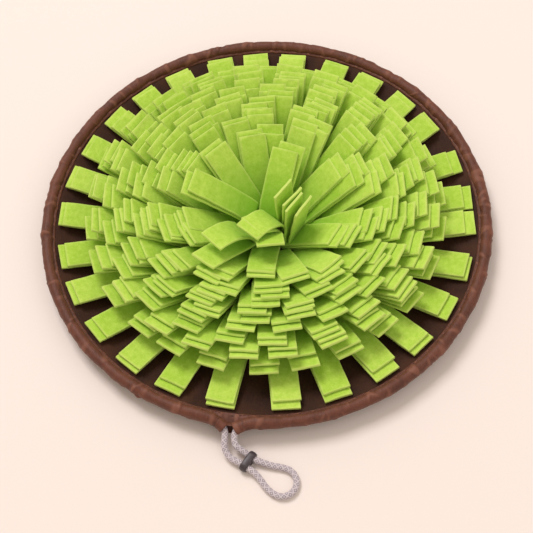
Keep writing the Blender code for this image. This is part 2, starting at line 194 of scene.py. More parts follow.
@dataclass
class Surface:
    """A closed mesh in the making, with what its finish reads at each point."""

    points: Array
    quads: Array
    triangles: Array
    values: dict[str, Array] = field(default_factory=dict)

    @classmethod
    def swept(cls, rings: Array, values: dict[str, Array], looped: bool = False) -> "Surface":
        """Join each ring of points to the next and close both ends, or the last to the first.

        Point (i, j) is ring i's point j. The face between rings i and i + 1 has the corners
        (i, j), (i, j + 1), (i + 1, j + 1), (i + 1, j), and an end is a fan round its middle.

        Args:
            rings: the points, (stations, around, 3).
            values: named numbers or vectors at the points, (stations, around[, 3]).
            looped: whether the last ring joins the first.

        Returns:
            The surface, with its faces outwards.
        """
        stations, sides = rings.shape[:2]
        index = np.arange(stations * sides).reshape(stations, sides)
        beside = np.roll(index, -1, axis=1)
        if looped:
            low, low_beside = index, beside
            high, high_beside = np.roll(index, -1, axis=0), np.roll(beside, -1, axis=0)
        else:
            low, low_beside, high, high_beside = index[:-1], beside[:-1], index[1:], beside[1:]
        quads = np.stack([low, low_beside, high_beside, high], axis=-1).reshape(-1, 4)
        points = rings.reshape(-1, 3)
        flat = {name: value.reshape(-1, *value.shape[2:]) for name, value in values.items()}
        triangles = np.empty((0, 3), dtype=int)
        if not looped:
            middles = np.full(sides, len(points))
            start = np.stack([middles, beside[0], index[0]], axis=-1)
            end = np.stack([middles + 1, index[-1], beside[-1]], axis=-1)
            triangles = np.vstack([start, end])
            points = np.vstack([points, rings[[0, -1]].mean(axis=1)])
            for name, value in values.items():
                flat[name] = np.concatenate([flat[name], value[[0, -1]].mean(axis=1)])
        return cls(points, quads, triangles, flat).turned_out()

    @classmethod
    def joined(cls, parts: Sequence["Surface"]) -> "Surface":
        """Return one surface of all the parts, which share the same named values.

        Args:
            parts: the surfaces.

        Returns:
            The whole.
        """
        starts = np.cumsum([0] + [len(part.points) for part in parts[:-1]])
        return cls(
            np.vstack([part.points for part in parts]),
            np.vstack([part.quads + start for part, start in zip(parts, starts)]),
            np.vstack([part.triangles + start for part, start in zip(parts, starts)]),
            {
                name: np.concatenate([part.values[name] for part in parts])
                for name in parts[0].values
            },
        )

    def turned_out(self) -> "Surface":
        """Return the surface with its faces outwards: the volume inside comes out above 0."""
        halves = np.vstack([self.quads[:, [0, 1, 2]], self.quads[:, [0, 2, 3]], self.triangles])
        a, b, c = (self.points[halves[:, corner]] for corner in range(3))
        if (a * np.cross(b, c)).sum() > 0.0:
            return self
        return Surface(self.points, self.quads[:, ::-1], self.triangles[:, ::-1], self.values)

    def piece(self, name: str, finish: Material, crease: float = 45.0) -> Piece:
        """Make the object.

        Args:
            name: the piece's name.
            finish: its material.
            crease: edges that turn by more degrees than this stay sharp.

        Returns:
            The object, at the origin.
        """
        mesh = bpy.data.meshes.new(name)
        corners = np.concatenate([self.quads.ravel(), self.triangles.ravel()])
        sizes = np.concatenate([np.full(len(self.quads), 4), np.full(len(self.triangles), 3)])
        mesh.vertices.add(len(self.points))
        mesh.vertices.foreach_set("co", self.points.astype(np.float32).ravel())
        mesh.loops.add(len(corners))
        mesh.loops.foreach_set("vertex_index", corners.astype(np.int32))
        mesh.polygons.add(len(sizes))
        mesh.polygons.foreach_set("loop_start", (np.cumsum(sizes) - sizes).astype(np.int32))
        mesh.update(calc_edges=True)
        mesh.validate()
        mesh.polygons.foreach_set("use_smooth", np.ones(len(sizes), dtype=bool))
        mesh.set_sharp_from_angle(angle=math.radians(crease))
        for title, value in self.values.items():
            if value.ndim == 2:
                layer = mesh.attributes.new(title, "FLOAT_VECTOR", "POINT")
                layer.data.foreach_set("vector", value.astype(np.float32).ravel())
            else:
                layer = mesh.attributes.new(title, "FLOAT", "POINT")
                layer.data.foreach_set("value", value.astype(np.float32))
        mesh.materials.append(finish)
        return linked(name, mesh)


def tube_frames(line: Array) -> tuple[Array, Array]:
    """Return two directions square to a line at each of its points, which never twist much.

    The tangent T comes from the points on both sides. The first direction is T x up, made to
    length 1, and the second is the first x T.

    Args:
        line: the points, (n, 3).

    Returns:
        The sideways and the upwards directions, (n, 3) each.
    """
    tangent = unit(np.gradient(line, axis=0))
    sideways = unit(np.cross(tangent, upward()))
    return sideways, np.cross(sideways, tangent)


def declare(piece: Piece, node: str = "") -> None:
    """Tie a finished piece to the frame.

    Args:
        piece: the finished object.
        node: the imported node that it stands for, if there is one.
    """
    if node:
        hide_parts(node)
    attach(piece, BODY)


# ---------------------------------------------------------------- finishes


class Nodes:
    """A short way of writing a material's nodes."""

    def __init__(self, name: str) -> None:
        """Start a material with a Principled shader."""
        self.material = bpy.data.materials.new(name)
        self.material.use_nodes = True
        self.tree = self.material.node_tree
        self.tree.nodes.clear()
        self.shader = self.tree.nodes.new("ShaderNodeBsdfPrincipled")
        output = self.tree.nodes.new("ShaderNodeOutputMaterial")
        self.tree.links.new(self.shader.outputs[0], output.inputs[0])

    def feed(self, node: bpy.types.Node, sockets: dict[str | int, object]) -> Socket:
        """Link or set a node's input sockets.

        Args:
            node: the node.
            sockets: an output to link, or a plain value, for each input.

        Returns:
            The node's first output.
        """
        for name, value in sockets.items():
            if isinstance(value, Socket):
                self.tree.links.new(value, node.inputs[name])
            else:
                node.inputs[name].default_value = value
        return node.outputs[0]

    def add(self, kind: str, sockets: dict[str | int, object]) -> Socket:
        """Add a node, feed its sockets and return its first output."""
        return self.feed(self.tree.nodes.new("ShaderNode" + kind), sockets)

    def dress(self, **sockets: object) -> Material:
        """Feed the shader's sockets, named with underscores for spaces; return the material."""
        self.feed(self.shader, {name.replace("_", " "): value for name, value in sockets.items()})
        return self.material

    def place(self) -> Socket:
        """Return the object coordinates."""
        return self.tree.nodes.new("ShaderNodeTexCoord").outputs["Object"]

    def value_of(self, title: str, kind: str = "Fac") -> Socket:
        """Return one of the mesh's named values, as a number or with the kind Vector.

        Args:
            title: the value's name.
            kind: the output that is wanted.

        Returns:
            The output.
        """
        node = self.tree.nodes.new("ShaderNodeAttribute")
        node.attribute_name = title
        return node.outputs[kind]

    def stretched(self, place: Socket, scale: tuple[float, float, float]) -> Socket:
        """Return the coordinates multiplied axis by axis."""
        return self.add("Mapping", {"Vector": place, "Scale": scale})

    def noise(self, place: Socket, scale: float, detail: float = 3.0, rough: float = 0.6) -> Socket:
        """Return cloudy noise from 0 to 1, with so many cells in each metre."""
        sockets = {"Vector": place, "Scale": scale, "Detail": detail, "Roughness": rough}
        return self.add("TexNoise", sockets)

    def wave(self, place: Socket, scale: float, axis: str) -> Socket:
        """Return slightly wandering bands across one axis, from 0 to 1.

        Args:
            place: the coordinates.
            scale: how close the bands lie.
            axis: X or Y.

        Returns:
            The bands.
        """
        node = self.tree.nodes.new("ShaderNodeTexWave")
        node.bands_direction = axis
        self.feed(node, {"Vector": place, "Scale": scale, "Distortion": 0.4})
        return node.outputs["Fac"]

    def math(self, how: str, first: object, second: object) -> Socket:
        """Return two values put together by a Math node.

        Args:
            how: the operation.
            first: the first value.
            second: the second value.

        Returns:
            The result.
        """
        node = self.tree.nodes.new("ShaderNodeMath")
        node.operation = how
        return self.feed(node, {0: first, 1: second})

    def mixed(self, *parts: tuple[Socket, float]) -> Socket:
        """Return the sum of the values, each times its share.

        Args:
            parts: pairs of a value and its share.

        Returns:
            The sum.
        """
        total: object = 0.0
        for value, share in parts:
            total = self.math("ADD", total, self.math("MULTIPLY", value, share))
        return total

    def spread(
        self, value: Socket, low: float, high: float, to_low: float = 0.0, to_high: float = 1.0
    ) -> Socket:
        """Return the value with low..high stretched to to_low..to_high and held there."""
        return self.add("MapRange", dict(enumerate((value, low, high, to_low, to_high))))

    def blend(self, share: Socket, first: object, second: object) -> Socket:
        """Return one colour blended into another.

        Args:
            share: how far the second colour shows.
            first: the first colour.
            second: the second colour.

        Returns:
            The blended colour.
        """
        node = self.tree.nodes.new("ShaderNodeMix")
        node.data_type = "RGBA"
        self.feed(node, {0: share, 6: first, 7: second})
        return node.outputs[2]

    def bump(self, height: Socket, distance: float, strength: float) -> Socket:
        """Return a surface direction that is roughened by the height, in metres."""
        return self.add("Bump", {"Height": height, "Distance": distance, "Strength": strength})


def colour(red: float, green: float, blue: float) -> Colour:
    """Return a linear colour from the usual 0 to 255 values.

    Each channel c becomes ((c / 255 + 0.055) / 1.055) ^ 2.4, or c / 255 / 12.92 when small.

    Args:
        red: the red channel.
        green: the green channel.
        blue: the blue channel.

    Returns:
        The linear red, green, blue and 1.
    """
    shares = [channel / 255.0 for channel in (red, green, blue)]
    linear = [s / 12.92 if s <= 0.04045 else ((s + 0.055) / 1.055) ** 2.4 for s in shares]
    return (*linear, 1.0)


@dataclass(frozen=True)
class FeltFinish:
    """Thick needled felt: matt, mottled, finely fibrous, with clean and paler cut edges, and
    painted shade towards the strips' roots.
    """

    light: Colour = colour(199, 231, 100)
    deep: Colour = colour(169, 211, 68)
    edge: Colour = colour(213, 234, 128)
    # painted shade: the darker, greener felt colour laid towards each strip's root, where the
    # strips shade each other
    painted_root_shade: Colour = colour(104, 168, 26)
    fuzz: Colour = colour(226, 240, 150)
    clouds: float = 210.0
    fibres: float = 900.0
    pores: float = 2600.0
    relief: float = 0.00022

    def material(self) -> Material:
        """Make the material: clouds and fibres vary the colour, the depth value paints shade
        towards the roots, and fibres and pores give the relief.
        """
        nodes = Nodes(Slot.FELT.value + "_finish")
        place = nodes.value_of("felt_place", "Vector")
        cloud = nodes.noise(place, self.clouds, 2.0, 0.55)
        fibre = nodes.noise(nodes.stretched(place, (1.0, 0.45, 1.0)), self.fibres, 4.0, 0.65)
        cross = nodes.noise(nodes.stretched(place, (0.4, 1.0, 1.0)), self.fibres * 1.3)
        pore = nodes.noise(place, self.pores, 2.0, 0.7)
        tint = nodes.value_of("tint")
        mottle = nodes.mixed((cloud, 0.45), (fibre, 0.275), (cross, 0.275), (tint, 1.0))
        body = nodes.blend(nodes.spread(mottle, 0.36, 0.66), self.deep, self.light)
        # painted shade: the mesh's depth value blends the shade colour in towards the roots
        body = nodes.blend(nodes.value_of("depth"), body, self.painted_root_shade)
        rim = nodes.spread(nodes.value_of("cut_edge"), 0.3, 1.0, 0.0, 0.75)
        height = nodes.mixed((fibre, 0.5), (cross, 0.5), (pore, 0.5))
        return nodes.dress(
            Base_Color=nodes.blend(rim, body, self.edge),
            Roughness=0.95,
            Specular_IOR_Level=0.2,
            Sheen_Weight=0.25,
            Sheen_Roughness=0.45,
            Sheen_Tint=self.fuzz,
            Normal=nodes.bump(height, self.relief, 0.9),
        )


@dataclass(frozen=True)
class WovenFinish:
    """A plain woven cloth with threads both ways, a little uneven, with painted highlights on the
    crests of its folds.
    """

    slot: Slot
    light: Colour
    deep: Colour
    # painted highlight: worn is the paler colour laid on the crests of the folds
    worn: Colour
    threads: float
    roughness: float
    sheen: float
    relief: float = 0.00012
    slubs: float = 900.0
    patches: float = 60.0
    fuzz: float = 1400.0
    glow: Colour = colour(220, 190, 175)

    def material(self) -> Material:
        """Make the material: two crossing sets of bands are the threads, noise ages them, and the
        crest value paints highlights on the folds.
        """
        nodes = Nodes(self.slot.value + "_finish")
        place = nodes.place()
        cloth = nodes.math(
            "MAXIMUM", nodes.wave(place, self.threads, "X"), nodes.wave(place, self.threads, "Y")
        )
        slub = nodes.noise(nodes.stretched(place, (1.0, 0.15, 1.0)), self.slubs)
        fine = nodes.noise(place, self.fuzz, 2.0)
        share = nodes.mixed((slub, 0.45), (nodes.noise(place, self.patches), 0.55))
        body = nodes.blend(nodes.spread(share, 0.35, 0.65), self.deep, self.light)
        # painted highlight: the crest value lightens the cloth on its fold crests
        crest_highlight = nodes.spread(nodes.value_of("crest"), 0.35, 1.0, 0.0, 0.55)
        return nodes.dress(
            Base_Color=nodes.blend(crest_highlight, body, self.worn),
            Roughness=nodes.spread(fine, 0.3, 0.7, self.roughness - 0.06, self.roughness + 0.08),
            Specular_IOR_Level=0.35,
            Sheen_Weight=self.sheen,
            Sheen_Roughness=0.4,
            Sheen_Tint=self.glow,
            Normal=nodes.bump(nodes.mixed((cloth, 1.0), (fine, 0.8)), self.relief, 0.7),
        )


@dataclass(frozen=True)
class ThreadFinish:
    """Sewing thread, twisted and slightly shiny."""

    tone: Colour = colour(72, 40, 30)
    raised: Colour = colour(104, 60, 44)
    twists: float = 2500.0

    def material(self) -> Material:
        """Make the material: fine noise darkens and roughens the thread."""
        nodes = Nodes("sewing_thread_finish")
        twist = nodes.noise(nodes.place(), self.twists, 2.0)
        return nodes.dress(
            Base_Color=nodes.blend(nodes.spread(twist, 0.3, 0.7), self.tone, self.raised),
            Roughness=0.6,
            Sheen_Weight=0.2,
            Normal=nodes.bump(twist, 0.0001, 0.6),
        )


@dataclass(frozen=True)
class BraidFinish:
    """A pale braid with painted shade in the grooves where its strands dive under each other."""

    pale: Colour = colour(224, 216, 218)
    # painted shade: the darker colour in the braid's grooves
    fleck: Colour = colour(104, 92, 112)
    worn: Colour = colour(178, 168, 176)
    fibres: float = 2800.0
    patches: float = 420.0

    def material(self) -> Material:
        """Make the material: the mesh's painted groove shade and fine fibres give the colour."""
        nodes = Nodes(Slot.CORD.value + "_finish")
        fibre = nodes.noise(nodes.place(), self.fibres)
        patch = nodes.noise(nodes.place(), self.patches, 2.0)
        faded = nodes.spread(patch, 0.35, 0.65, 0.75, 1.0)
        # painted shade in the grooves, broken up by slow patches
        groove_shade_share = nodes.math("MULTIPLY", nodes.value_of("fleck"), faded)
        body = nodes.blend(nodes.spread(fibre, 0.3, 0.7, 0.0, 0.5), self.pale, self.worn)
        return nodes.dress(
            Base_Color=nodes.blend(groove_shade_share, body, self.fleck),
            Roughness=0.85,
            Specular_IOR_Level=0.3,
            Sheen_Weight=0.3,
            Normal=nodes.bump(fibre, 0.0001, 0.6),
        )


@dataclass(frozen=True)
class PlasticFinish:
    """Moulded charcoal plastic with a fine satin grain and rubbed high spots."""

    tone: Colour = colour(62, 54, 58)
    rubbed: Colour = colour(92, 84, 88)
    grain: float = 3600.0
    patches: float = 300.0

    def material(self) -> Material:
        """Make the material: fine grain in the relief and slow patches in the gloss."""
        nodes = Nodes(Slot.TOGGLE.value + "_finish")
        patch = nodes.noise(nodes.place(), self.patches)
        worn = nodes.spread(patch, 0.45, 0.75, 0.0, 0.5)
        return nodes.dress(
            Base_Color=nodes.blend(worn, self.tone, self.rubbed),
            Roughness=nodes.spread(patch, 0.3, 0.7, 0.32, 0.48),
            Specular_IOR_Level=0.5,
            Normal=nodes.bump(nodes.noise(nodes.place(), self.grain, 2.0), 0.00005, 0.5),
        )


# ---------------------------------------------------------------- felt strips


@dataclass(frozen=True)
class Leaf:
    """One half of a folded strip: angles in degrees, length in metres."""

    turn: float
    slope: float
    tip_slope: float
    length: float


@dataclass
class FoldedStrip:
    """One felt strip, folded in half at its root, where it is sewn down."""

    angle: float
    start: Array
    lower: Leaf
    upper: Leaf
    root_width: float
    seed: int
    # painted shade: shade is how strongly the root is painted darker, and shade_reach is the share
    # of the length over which that fades
    shade: float
    thickness: float = 0.0025
    width: float = 0.0268
    pinch_length: float = 0.012
    leaf_gap: float = 0.0006
    rounding: float = 0.0003
    stations: int = 22
    columns: int = 9
    fold_stations: int = 7
    waver: float = 0.006
    bow: float = 0.0006
    cup: float = 0.0005
    twist: float = 0.022
    swell: float = 0.00022
    swell_length: float = 0.034
    skew: float = 0.035
    wander: float = 0.0004
    unevenness: float = 0.035
    uneven_length: float = 0.012
    shade_reach: float = 0.80

    def leaf_line(self, leaf: Leaf, start: Array) -> tuple[Array, Array, Array, Array]:
        """Work out one leaf's middle line from its root to its tip.

        The slope goes evenly from the root's to the tip's, and the line is the running sum of
        heading cos(slope) + up sin(slope) over the length.

        Args:
            leaf: the leaf.
            start: the middle of the leaf at its root.

        Returns:
            The points, the side and the upper directions at them, and the distances from the
            root, one row for each station.
        """
        share = np.linspace(0.0, 1.0, self.stations)
        slope = np.radians(leaf.slope + (leaf.tip_slope - leaf.slope) * share)
        bearing = self.angle + math.radians(leaf.turn)
        heading, side = outward(bearing), around(bearing)
        tangent = heading * np.cos(slope)[:, None] + upward(np.sin(slope))
        steps = 0.5 * (tangent[1:] + tangent[:-1]) * leaf.length / (self.stations - 1)
        points = start + np.vstack([np.zeros(3), np.cumsum(steps, axis=0)])
        normal = upward(np.cos(slope)) - heading * np.sin(slope)[:, None]
        return points, np.tile(side, (self.stations, 1)), normal, share * leaf.length

    def path(self) -> tuple[Array, Array, Array, Array, Array]:
        """Work out the strip's middle line, from the lower tip round the fold to the upper tip.

        Returns:
            The points, the side directions, the directions away from the other leaf, the
            distances from the root, and 1 on the upper leaf, -1 on the lower and between them
            at the fold.
        """
        spread = self.thickness + self.leaf_gap
        slope = math.radians(self.lower.slope)
        lift = upward(math.cos(slope)) - outward(self.angle) * math.sin(slope)
        low, low_side, low_normal, low_reach = self.leaf_line(self.lower, self.start)
        above = self.start + lift * spread
        high, high_side, high_normal, high_reach = self.leaf_line(self.upper, above)
        across = unit(high[0] - low[0])
        inward = unit(np.cross(across, around(self.angle)))
        turn = np.linspace(0.0, math.pi, self.fold_stations + 2)[1:-1, None]
        bend = -across * np.cos(turn) + inward * np.sin(turn)
        middle = 0.5 * (low[0] + high[0])
        fold_side = unit(low_side[0] + (high_side[0] - low_side[0]) * turn / math.pi)
        points = np.vstack([low[::-1], middle + bend * spread * 0.5, high])
        sides = np.vstack([low_side, fold_side, high_side])
        outs = np.vstack([-low_normal[::-1], bend, high_normal])
        reach = np.concatenate([low_reach[::-1], np.zeros(self.fold_stations), high_reach])
        full = np.ones(self.stations)
        leaf = np.concatenate([-full, -np.cos(turn[:, 0]), full])
        return points, sides, outs, reach, leaf

    def outline(self) -> tuple[Array, Array, Array]:
        """Return the strip's cross-section, a flat loop with four rounded corners.

        Returns:
            Each point's share of the half width, from -1 to 1, its share of the half
            thickness, and how far it is on a cut side, from 0 to 1.
        """
        flat = np.linspace(-1.0, 1.0, self.columns)
        inset = 1.0 - self.rounding / (self.width * 0.5)
        corner = 1.0 - self.rounding / (self.thickness * 0.5)
        side, full = np.ones(3), np.ones(self.columns)
        edge = np.array([corner, 0.0, -corner])
        across = np.concatenate([flat * inset, side, flat[::-1] * inset, -side])
        height = np.concatenate([full, edge, -full, -edge])
        cut = np.concatenate([full * 0.0, side, full * 0.0, side])
        cut[[0, self.columns - 1, self.columns + 3, 2 * self.columns + 2]] = 0.7
        return across, height, cut

    def surface(self) -> Surface:
        """Carry the cross-section along the strip's line, with the small faults of cut felt.

        A point is p + side x w + out (z t / 2 + leaf lift) + along skew x w, where x and z are
        the cross-section's shares, w the half width and t the thickness. The lift is the same
        way for both leaves: a bow, a cup across the width, a twist and a slow swell, each
        growing from the root.

        Returns:
            The closed strip.
        """
        dice = np.random.default_rng(self.seed)
        points, sides, outs, reach, leaf = self.path()
        across, height, cut = self.outline()
        share = np.clip(reach / max(self.lower.length, self.upper.length), 0.0, 1.0)
        pinch = np.minimum(1.0, reach / self.pinch_length)
        half = 0.5 * (self.root_width + (self.width - self.root_width) * pinch)
        waver = np.sin(reach * dice.uniform(90, 160) + dice.uniform(0, 6))
        half = half * (1.0 + self.waver * waver)
        bow, cup, twist, drift, skew_low, skew_high = dice.uniform(-1.0, 1.0, 6)
        x = across[None, :] * half[:, None]
        local = np.stack([x, np.repeat(reach[:, None], len(across), axis=1)], axis=-1)
        grow = share[:, None]
        lift = self.bow * bow * np.sin(math.pi * grow)
        lift = lift + self.cup * cup * (across[None, :] ** 2 - 0.4) * grow
        lift = lift + self.twist * twist * x * grow
        free = np.minimum(1.0, reach / 0.01)[:, None]
        lift = lift + self.swell * ripple(local, dice, 5, self.swell_length) * free
        skew = np.where(leaf < 0, skew_low, skew_high) * self.skew * share**4
        wander = self.wander * drift * np.sin(reach * 55.0) * share
        uneven = self.unevenness * ripple(local, dice, 4, self.uneven_length)
        through = self.thickness * 0.5 * (1.0 + uneven) * height[None, :]
        along = unit(np.gradient(points, axis=0)) * np.where(leaf < 0, -1.0, 1.0)[:, None]
        rings = points[:, None, :] + sides[:, None, :] * (x + wander[:, None])[:, :, None]
        rings = rings + outs[:, None, :] * (through + leaf[:, None] * lift)[:, :, None]
        rings = rings + along[:, None, :] * (skew[:, None] * x)[:, :, None]
        signed = local[..., 1] * np.sign(leaf + 1e-9)[:, None]
        place = np.stack([x, signed, through], axis=-1) + dice.uniform(-3.0, 3.0, 3)
        edge = np.tile(cut, (len(points), 1))
        rings, place, edge = self.rounded_ends(rings, place, edge)
        # painted shade: strongest at the root, gone at shade_reach of the strip's length
        depth = self.shade * np.clip(1.0 - share / self.shade_reach, 0.0, 1.0)
        depth = np.concatenate([depth[:1], depth, depth[-1:]])
        values = {
            "felt_place": place,
            "cut_edge": edge,
            "tint": np.full(edge.shape, dice.uniform(-0.07, 0.07)),
            "depth": np.tile(depth[:, None], (1, edge.shape[1])),
        }
        return Surface.swept(rings, values)

    def rounded_ends(self, rings: Array, place: Array, edge: Array) -> tuple[Array, Array, Array]:
        """Round the two cut ends with one smaller ring at each, moved in by the rounding.

        Args:
            rings: the strip's points.
            place: where each point is on the flat strip.
            edge: how far each point is on a cut side.

        Returns:
            The three arrays, with a ring more at each end.
        """
        ends = []
        for tip, beside in ((0, 1), (-1, -2)):
            middle = rings[tip].mean(axis=0)
            out = unit(middle - rings[beside].mean(axis=0)) * self.rounding
            spread = rings[tip] - middle
            across = unit(rings[tip][self.columns - 1] - rings[tip][0])
            flat = (spread @ across)[:, None] * across
            inner = flat * (1.0 - self.rounding / (self.width * 0.5))
            inner = inner + (spread - flat) * (1.0 - self.rounding / (self.thickness * 0.5))
            ends.append(middle + inner + out)
        rings = np.concatenate([ends[0][None], rings, ends[1][None]])
        place = np.concatenate([place[:1], place, place[-1:]])
        full = np.ones((1, edge.shape[1]))
        tips = np.maximum(edge[[0, -1]], 0.7)
        edge = np.concatenate([full, tips[:1], edge[1:-1], tips[1:], full])
        return rings, place, edge

    def cut_size(self) -> tuple[float, float]:
        """Return the flat strip's width and length, both leaves and the fold."""
        fold = math.pi * (self.thickness + self.leaf_gap) * 0.5
        return self.width, self.lower.length + self.upper.length + fold


@dataclass(frozen=True)
class RingPlan:
    """How one ring of strips lies: radii and lengths in metres, angles in degrees."""

    name: str
    count: int
    root: float
    first: float
    slope: float
    tip_slope: float
    length: float
    fan: float
    sway: float
    lift: float


OUTER_RING = RingPlan("felt_outer", 28, 0.1235, 272.0, 12.0, 10.5, 0.0855, 0.5, 2.5, 0.0)
INNER_RINGS = (
    RingPlan("felt_ring_2", 24, 0.1045, 3.8, 40.0, 32.0, 0.0800, 1.5, 4.0, 1.2),
    RingPlan("felt_ring_3", 20, 0.0870, 5.0, 47.0, 39.0, 0.0800, 1.2, 4.5, 1.0),
    RingPlan("felt_ring_4", 16, 0.0692, 12.0, 47.0, 39.5, 0.0815, 1.0, 5.0, 0.7),
    RingPlan("felt_ring_5", 12, 0.0515, 4.0, 46.5, 39.0, 0.0830, 0.6, 5.0, 0.4),
    RingPlan("felt_ring_6", 8, 0.0365, 14.0, 45.0, 38.0, 0.0825, 0.5, 4.0, 0.3),
)


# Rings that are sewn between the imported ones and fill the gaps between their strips.
BETWEEN_RINGS = (
    RingPlan("felt_between_1", 26, 0.1135, 279.0, 32.0, 24.0, 0.0720, 3.2, 4.0, 1.5),
    RingPlan("felt_between_2", 22, 0.0958, 9.0, 43.5, 35.5, 0.0800, 1.0, 4.0, 0.8),
    RingPlan("felt_between_3", 18, 0.0781, 2.0, 47.0, 39.0, 0.0808, 0.9, 4.0, 0.7),
    RingPlan("felt_between_4", 14, 0.0604, 9.0, 46.8, 39.2, 0.0820, 0.8, 4.0, 0.5),
    RingPlan("felt_between_5", 10, 0.0440, 17.0, 45.8, 38.5, 0.0828, 0.6, 4.0, 0.4),
    RingPlan("felt_between_6", 6, 0.0280, 24.0, 45.5, 38.0, 0.0800, 0.5, 3.0, 0.2),
)


@dataclass(frozen=True)
class MiddlePlan:
    """How one middle strip lies: its root's place, its heading in degrees, and its leaves."""

    place: tuple[float, float, float]
    heading: float
    lower: Leaf
    upper: Leaf


MIDDLES = (
    MiddlePlan((-0.002, 0.018, 0.0036), 97, Leaf(1, 42, 36, 0.083), Leaf(-1, 43, 37, 0.078)),
    MiddlePlan((-0.011, 0.0130, 0.0150), 129, Leaf(1, 40, 34, 0.079), Leaf(-1, 41, 35, 0.074)),
    MiddlePlan((-0.0130, 0.0025, 0.0255), 164, Leaf(1, 34, 27, 0.077), Leaf(-2, 35, 28, 0.072)),
    MiddlePlan((0.0055, 0.0020, 0.0200), 70, Leaf(-5, 34, 29, 0.074), Leaf(0, 36, 30, 0.067)),
    MiddlePlan((-0.0197, -0.0044, 0.0036), 193.5, Leaf(1, 42, 36, 0.083), Leaf(-1, 42, 37, 0.079)),
    MiddlePlan((-0.0201, -0.0228, 0.0208), 228, Leaf(1, 37, 32, 0.078), Leaf(-6, 76, 12, 0.068)),
    MiddlePlan((0.0006, -0.0195, 0.0036), 263.5, Leaf(-2, 43, 37, 0.083), Leaf(9, 80, 30, 0.074)),
    MiddlePlan((0.0222, -0.0090, 0.0060), 138, Leaf(3, 87, 85, 0.074), Leaf(-2, 93, 92, 0.070)),
)


# Two more strips in the middle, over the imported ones: one bends over the opening between them,
# and one stands up beside the upright pair.
MIDDLE_EXTRAS = (
    MiddlePlan((0.0080, -0.0170, 0.0200), 226, Leaf(-3, 84, 30, 0.058), Leaf(0, 99, -2, 0.071)),
    MiddlePlan((0.0280, -0.0190, 0.0060), 322, Leaf(0, 84, 79, 0.073), Leaf(-2, 90, 85, 0.069)),
)


@dataclass
class FeltField:
    """All the felt: the outer strips, the inner rings and the strips in the middle."""

    finish: FeltFinish = field(default_factory=FeltFinish)
    seed: int = 11
    middle_seed: int = 9000
    seam_spacing: float = 17.0
    drift: float = 3.6
    crowded: dict[int, float] = field(default_factory=lambda: {6: 5.0, 7: -6.0, 8: -6.0})
    shortening: tuple[float, float] = (0.003, 0.010)
    slew: float = 1.5
    root_height: float = 0.0036
    pinched: float = 0.024
    inner_width: float = 0.0264
    # painted shade at the roots: little on the open outer strips, more on the crowded inner ones
    outer_shade: float = 0.10
    shade: float = 0.75

    def places(self, plan: RingPlan, dice: random.Random) -> list[tuple[float, float]]:
        """Draw where a ring's strips are sewn and how far each is turned.

        Args:
            plan: the ring.
            dice: the source of the chance turns, drawn for every strip in order.

        Returns:
            Each strip's angle and turn, in degrees.
        """
        found = []
        for number in range(plan.count):
            angle = plan.first + 360.0 * number / plan.count
            turn = dice.uniform(-plan.sway, plan.sway)
            if plan is OUTER_RING:
                share = number / (plan.count - 1)
                angle = plan.first + (360.0 - self.seam_spacing) * share
                angle += self.drift * math.sin(FULL_TURN * share)
                turn = self.crowded.get(number, turn)
            found.append((angle, turn))
        return found

    def strips(self, plan: RingPlan, dice: random.Random) -> list[FoldedStrip]:
        """Draw one ring's strips.

        Args:
            plan: the ring.
            dice: the source of the chance angles and lengths.

        Returns:
            The strips in order round the ring.
        """
        outer = plan is OUTER_RING
        root_width = self.pinched if outer else self.inner_width
        shade = self.outer_shade if outer else self.shade
        found = []
        for number, (angle, turn) in enumerate(self.places(plan, dice)):
            lift = dice.uniform(-plan.lift, plan.lift)
            slew = dice.uniform(-self.slew, self.slew)
            short = dice.uniform(*self.shortening)
            fan = plan.fan * dice.uniform(0.4, 1.0)
            low, tip = plan.slope + lift, plan.tip_slope + lift
            lower = Leaf(turn, low, tip, plan.length)
            upper = Leaf(turn + slew, low + fan, tip + fan, plan.length - short)
            bearing = math.radians(angle)
            start = outward(bearing) * plan.root + upward(self.root_height)
            seed = 1000 * plan.count + number
            found.append(FoldedStrip(bearing, start, lower, upper, root_width, seed, shade))
        return found

    def add(self, name: str, strips: Sequence[FoldedStrip], felt: Material, node: str = "") -> None:
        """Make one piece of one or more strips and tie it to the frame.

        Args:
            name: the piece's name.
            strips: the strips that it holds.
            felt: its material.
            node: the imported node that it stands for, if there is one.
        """
        piece = Surface.joined([strip.surface() for strip in strips]).piece(name, felt)
        declare(piece, node)
        sizes = [strip.cut_size() for strip in strips]

    def build(self) -> None:
        """Make every piece of felt."""
        felt = self.finish.material()
        dice = random.Random(self.seed)
        for number, strip in enumerate(self.strips(OUTER_RING, dice)):
            node = f"{OUTER_RING.name}_{number + 1:02d}"
            self.add(node + "_strip", [strip], felt, node)
        LOG.info("%s: %d strips", OUTER_RING.name, OUTER_RING.count)
        for plan in INNER_RINGS:
            self.add(plan.name + "_strips", self.strips(plan, dice), felt, plan.name)
            LOG.info("%s: %d strips", plan.name, plan.count)
        dice = random.Random(self.seed + 1)
        for plan in BETWEEN_RINGS:
            self.add(plan.name + "_strips", self.strips(plan, dice), felt)
            LOG.info("%s: %d strips", plan.name, plan.count)
        for number, plan in enumerate(MIDDLES + MIDDLE_EXTRAS):
            heading, place = math.radians(plan.heading), np.array(plan.place)
            seed = self.middle_seed + number
            strip = FoldedStrip(
                heading, place, plan.lower, plan.upper, self.pinched, seed, self.shade
            )
            node = f"felt_middle_{number + 1}"
            packed = node if number < len(MIDDLES) else ""
            self.add(node + "_strip", [strip], felt, packed)
        LOG.info("middle strips: %d", len(MIDDLES + MIDDLE_EXTRAS))


# ---------------------------------------------------------------- the base cloth


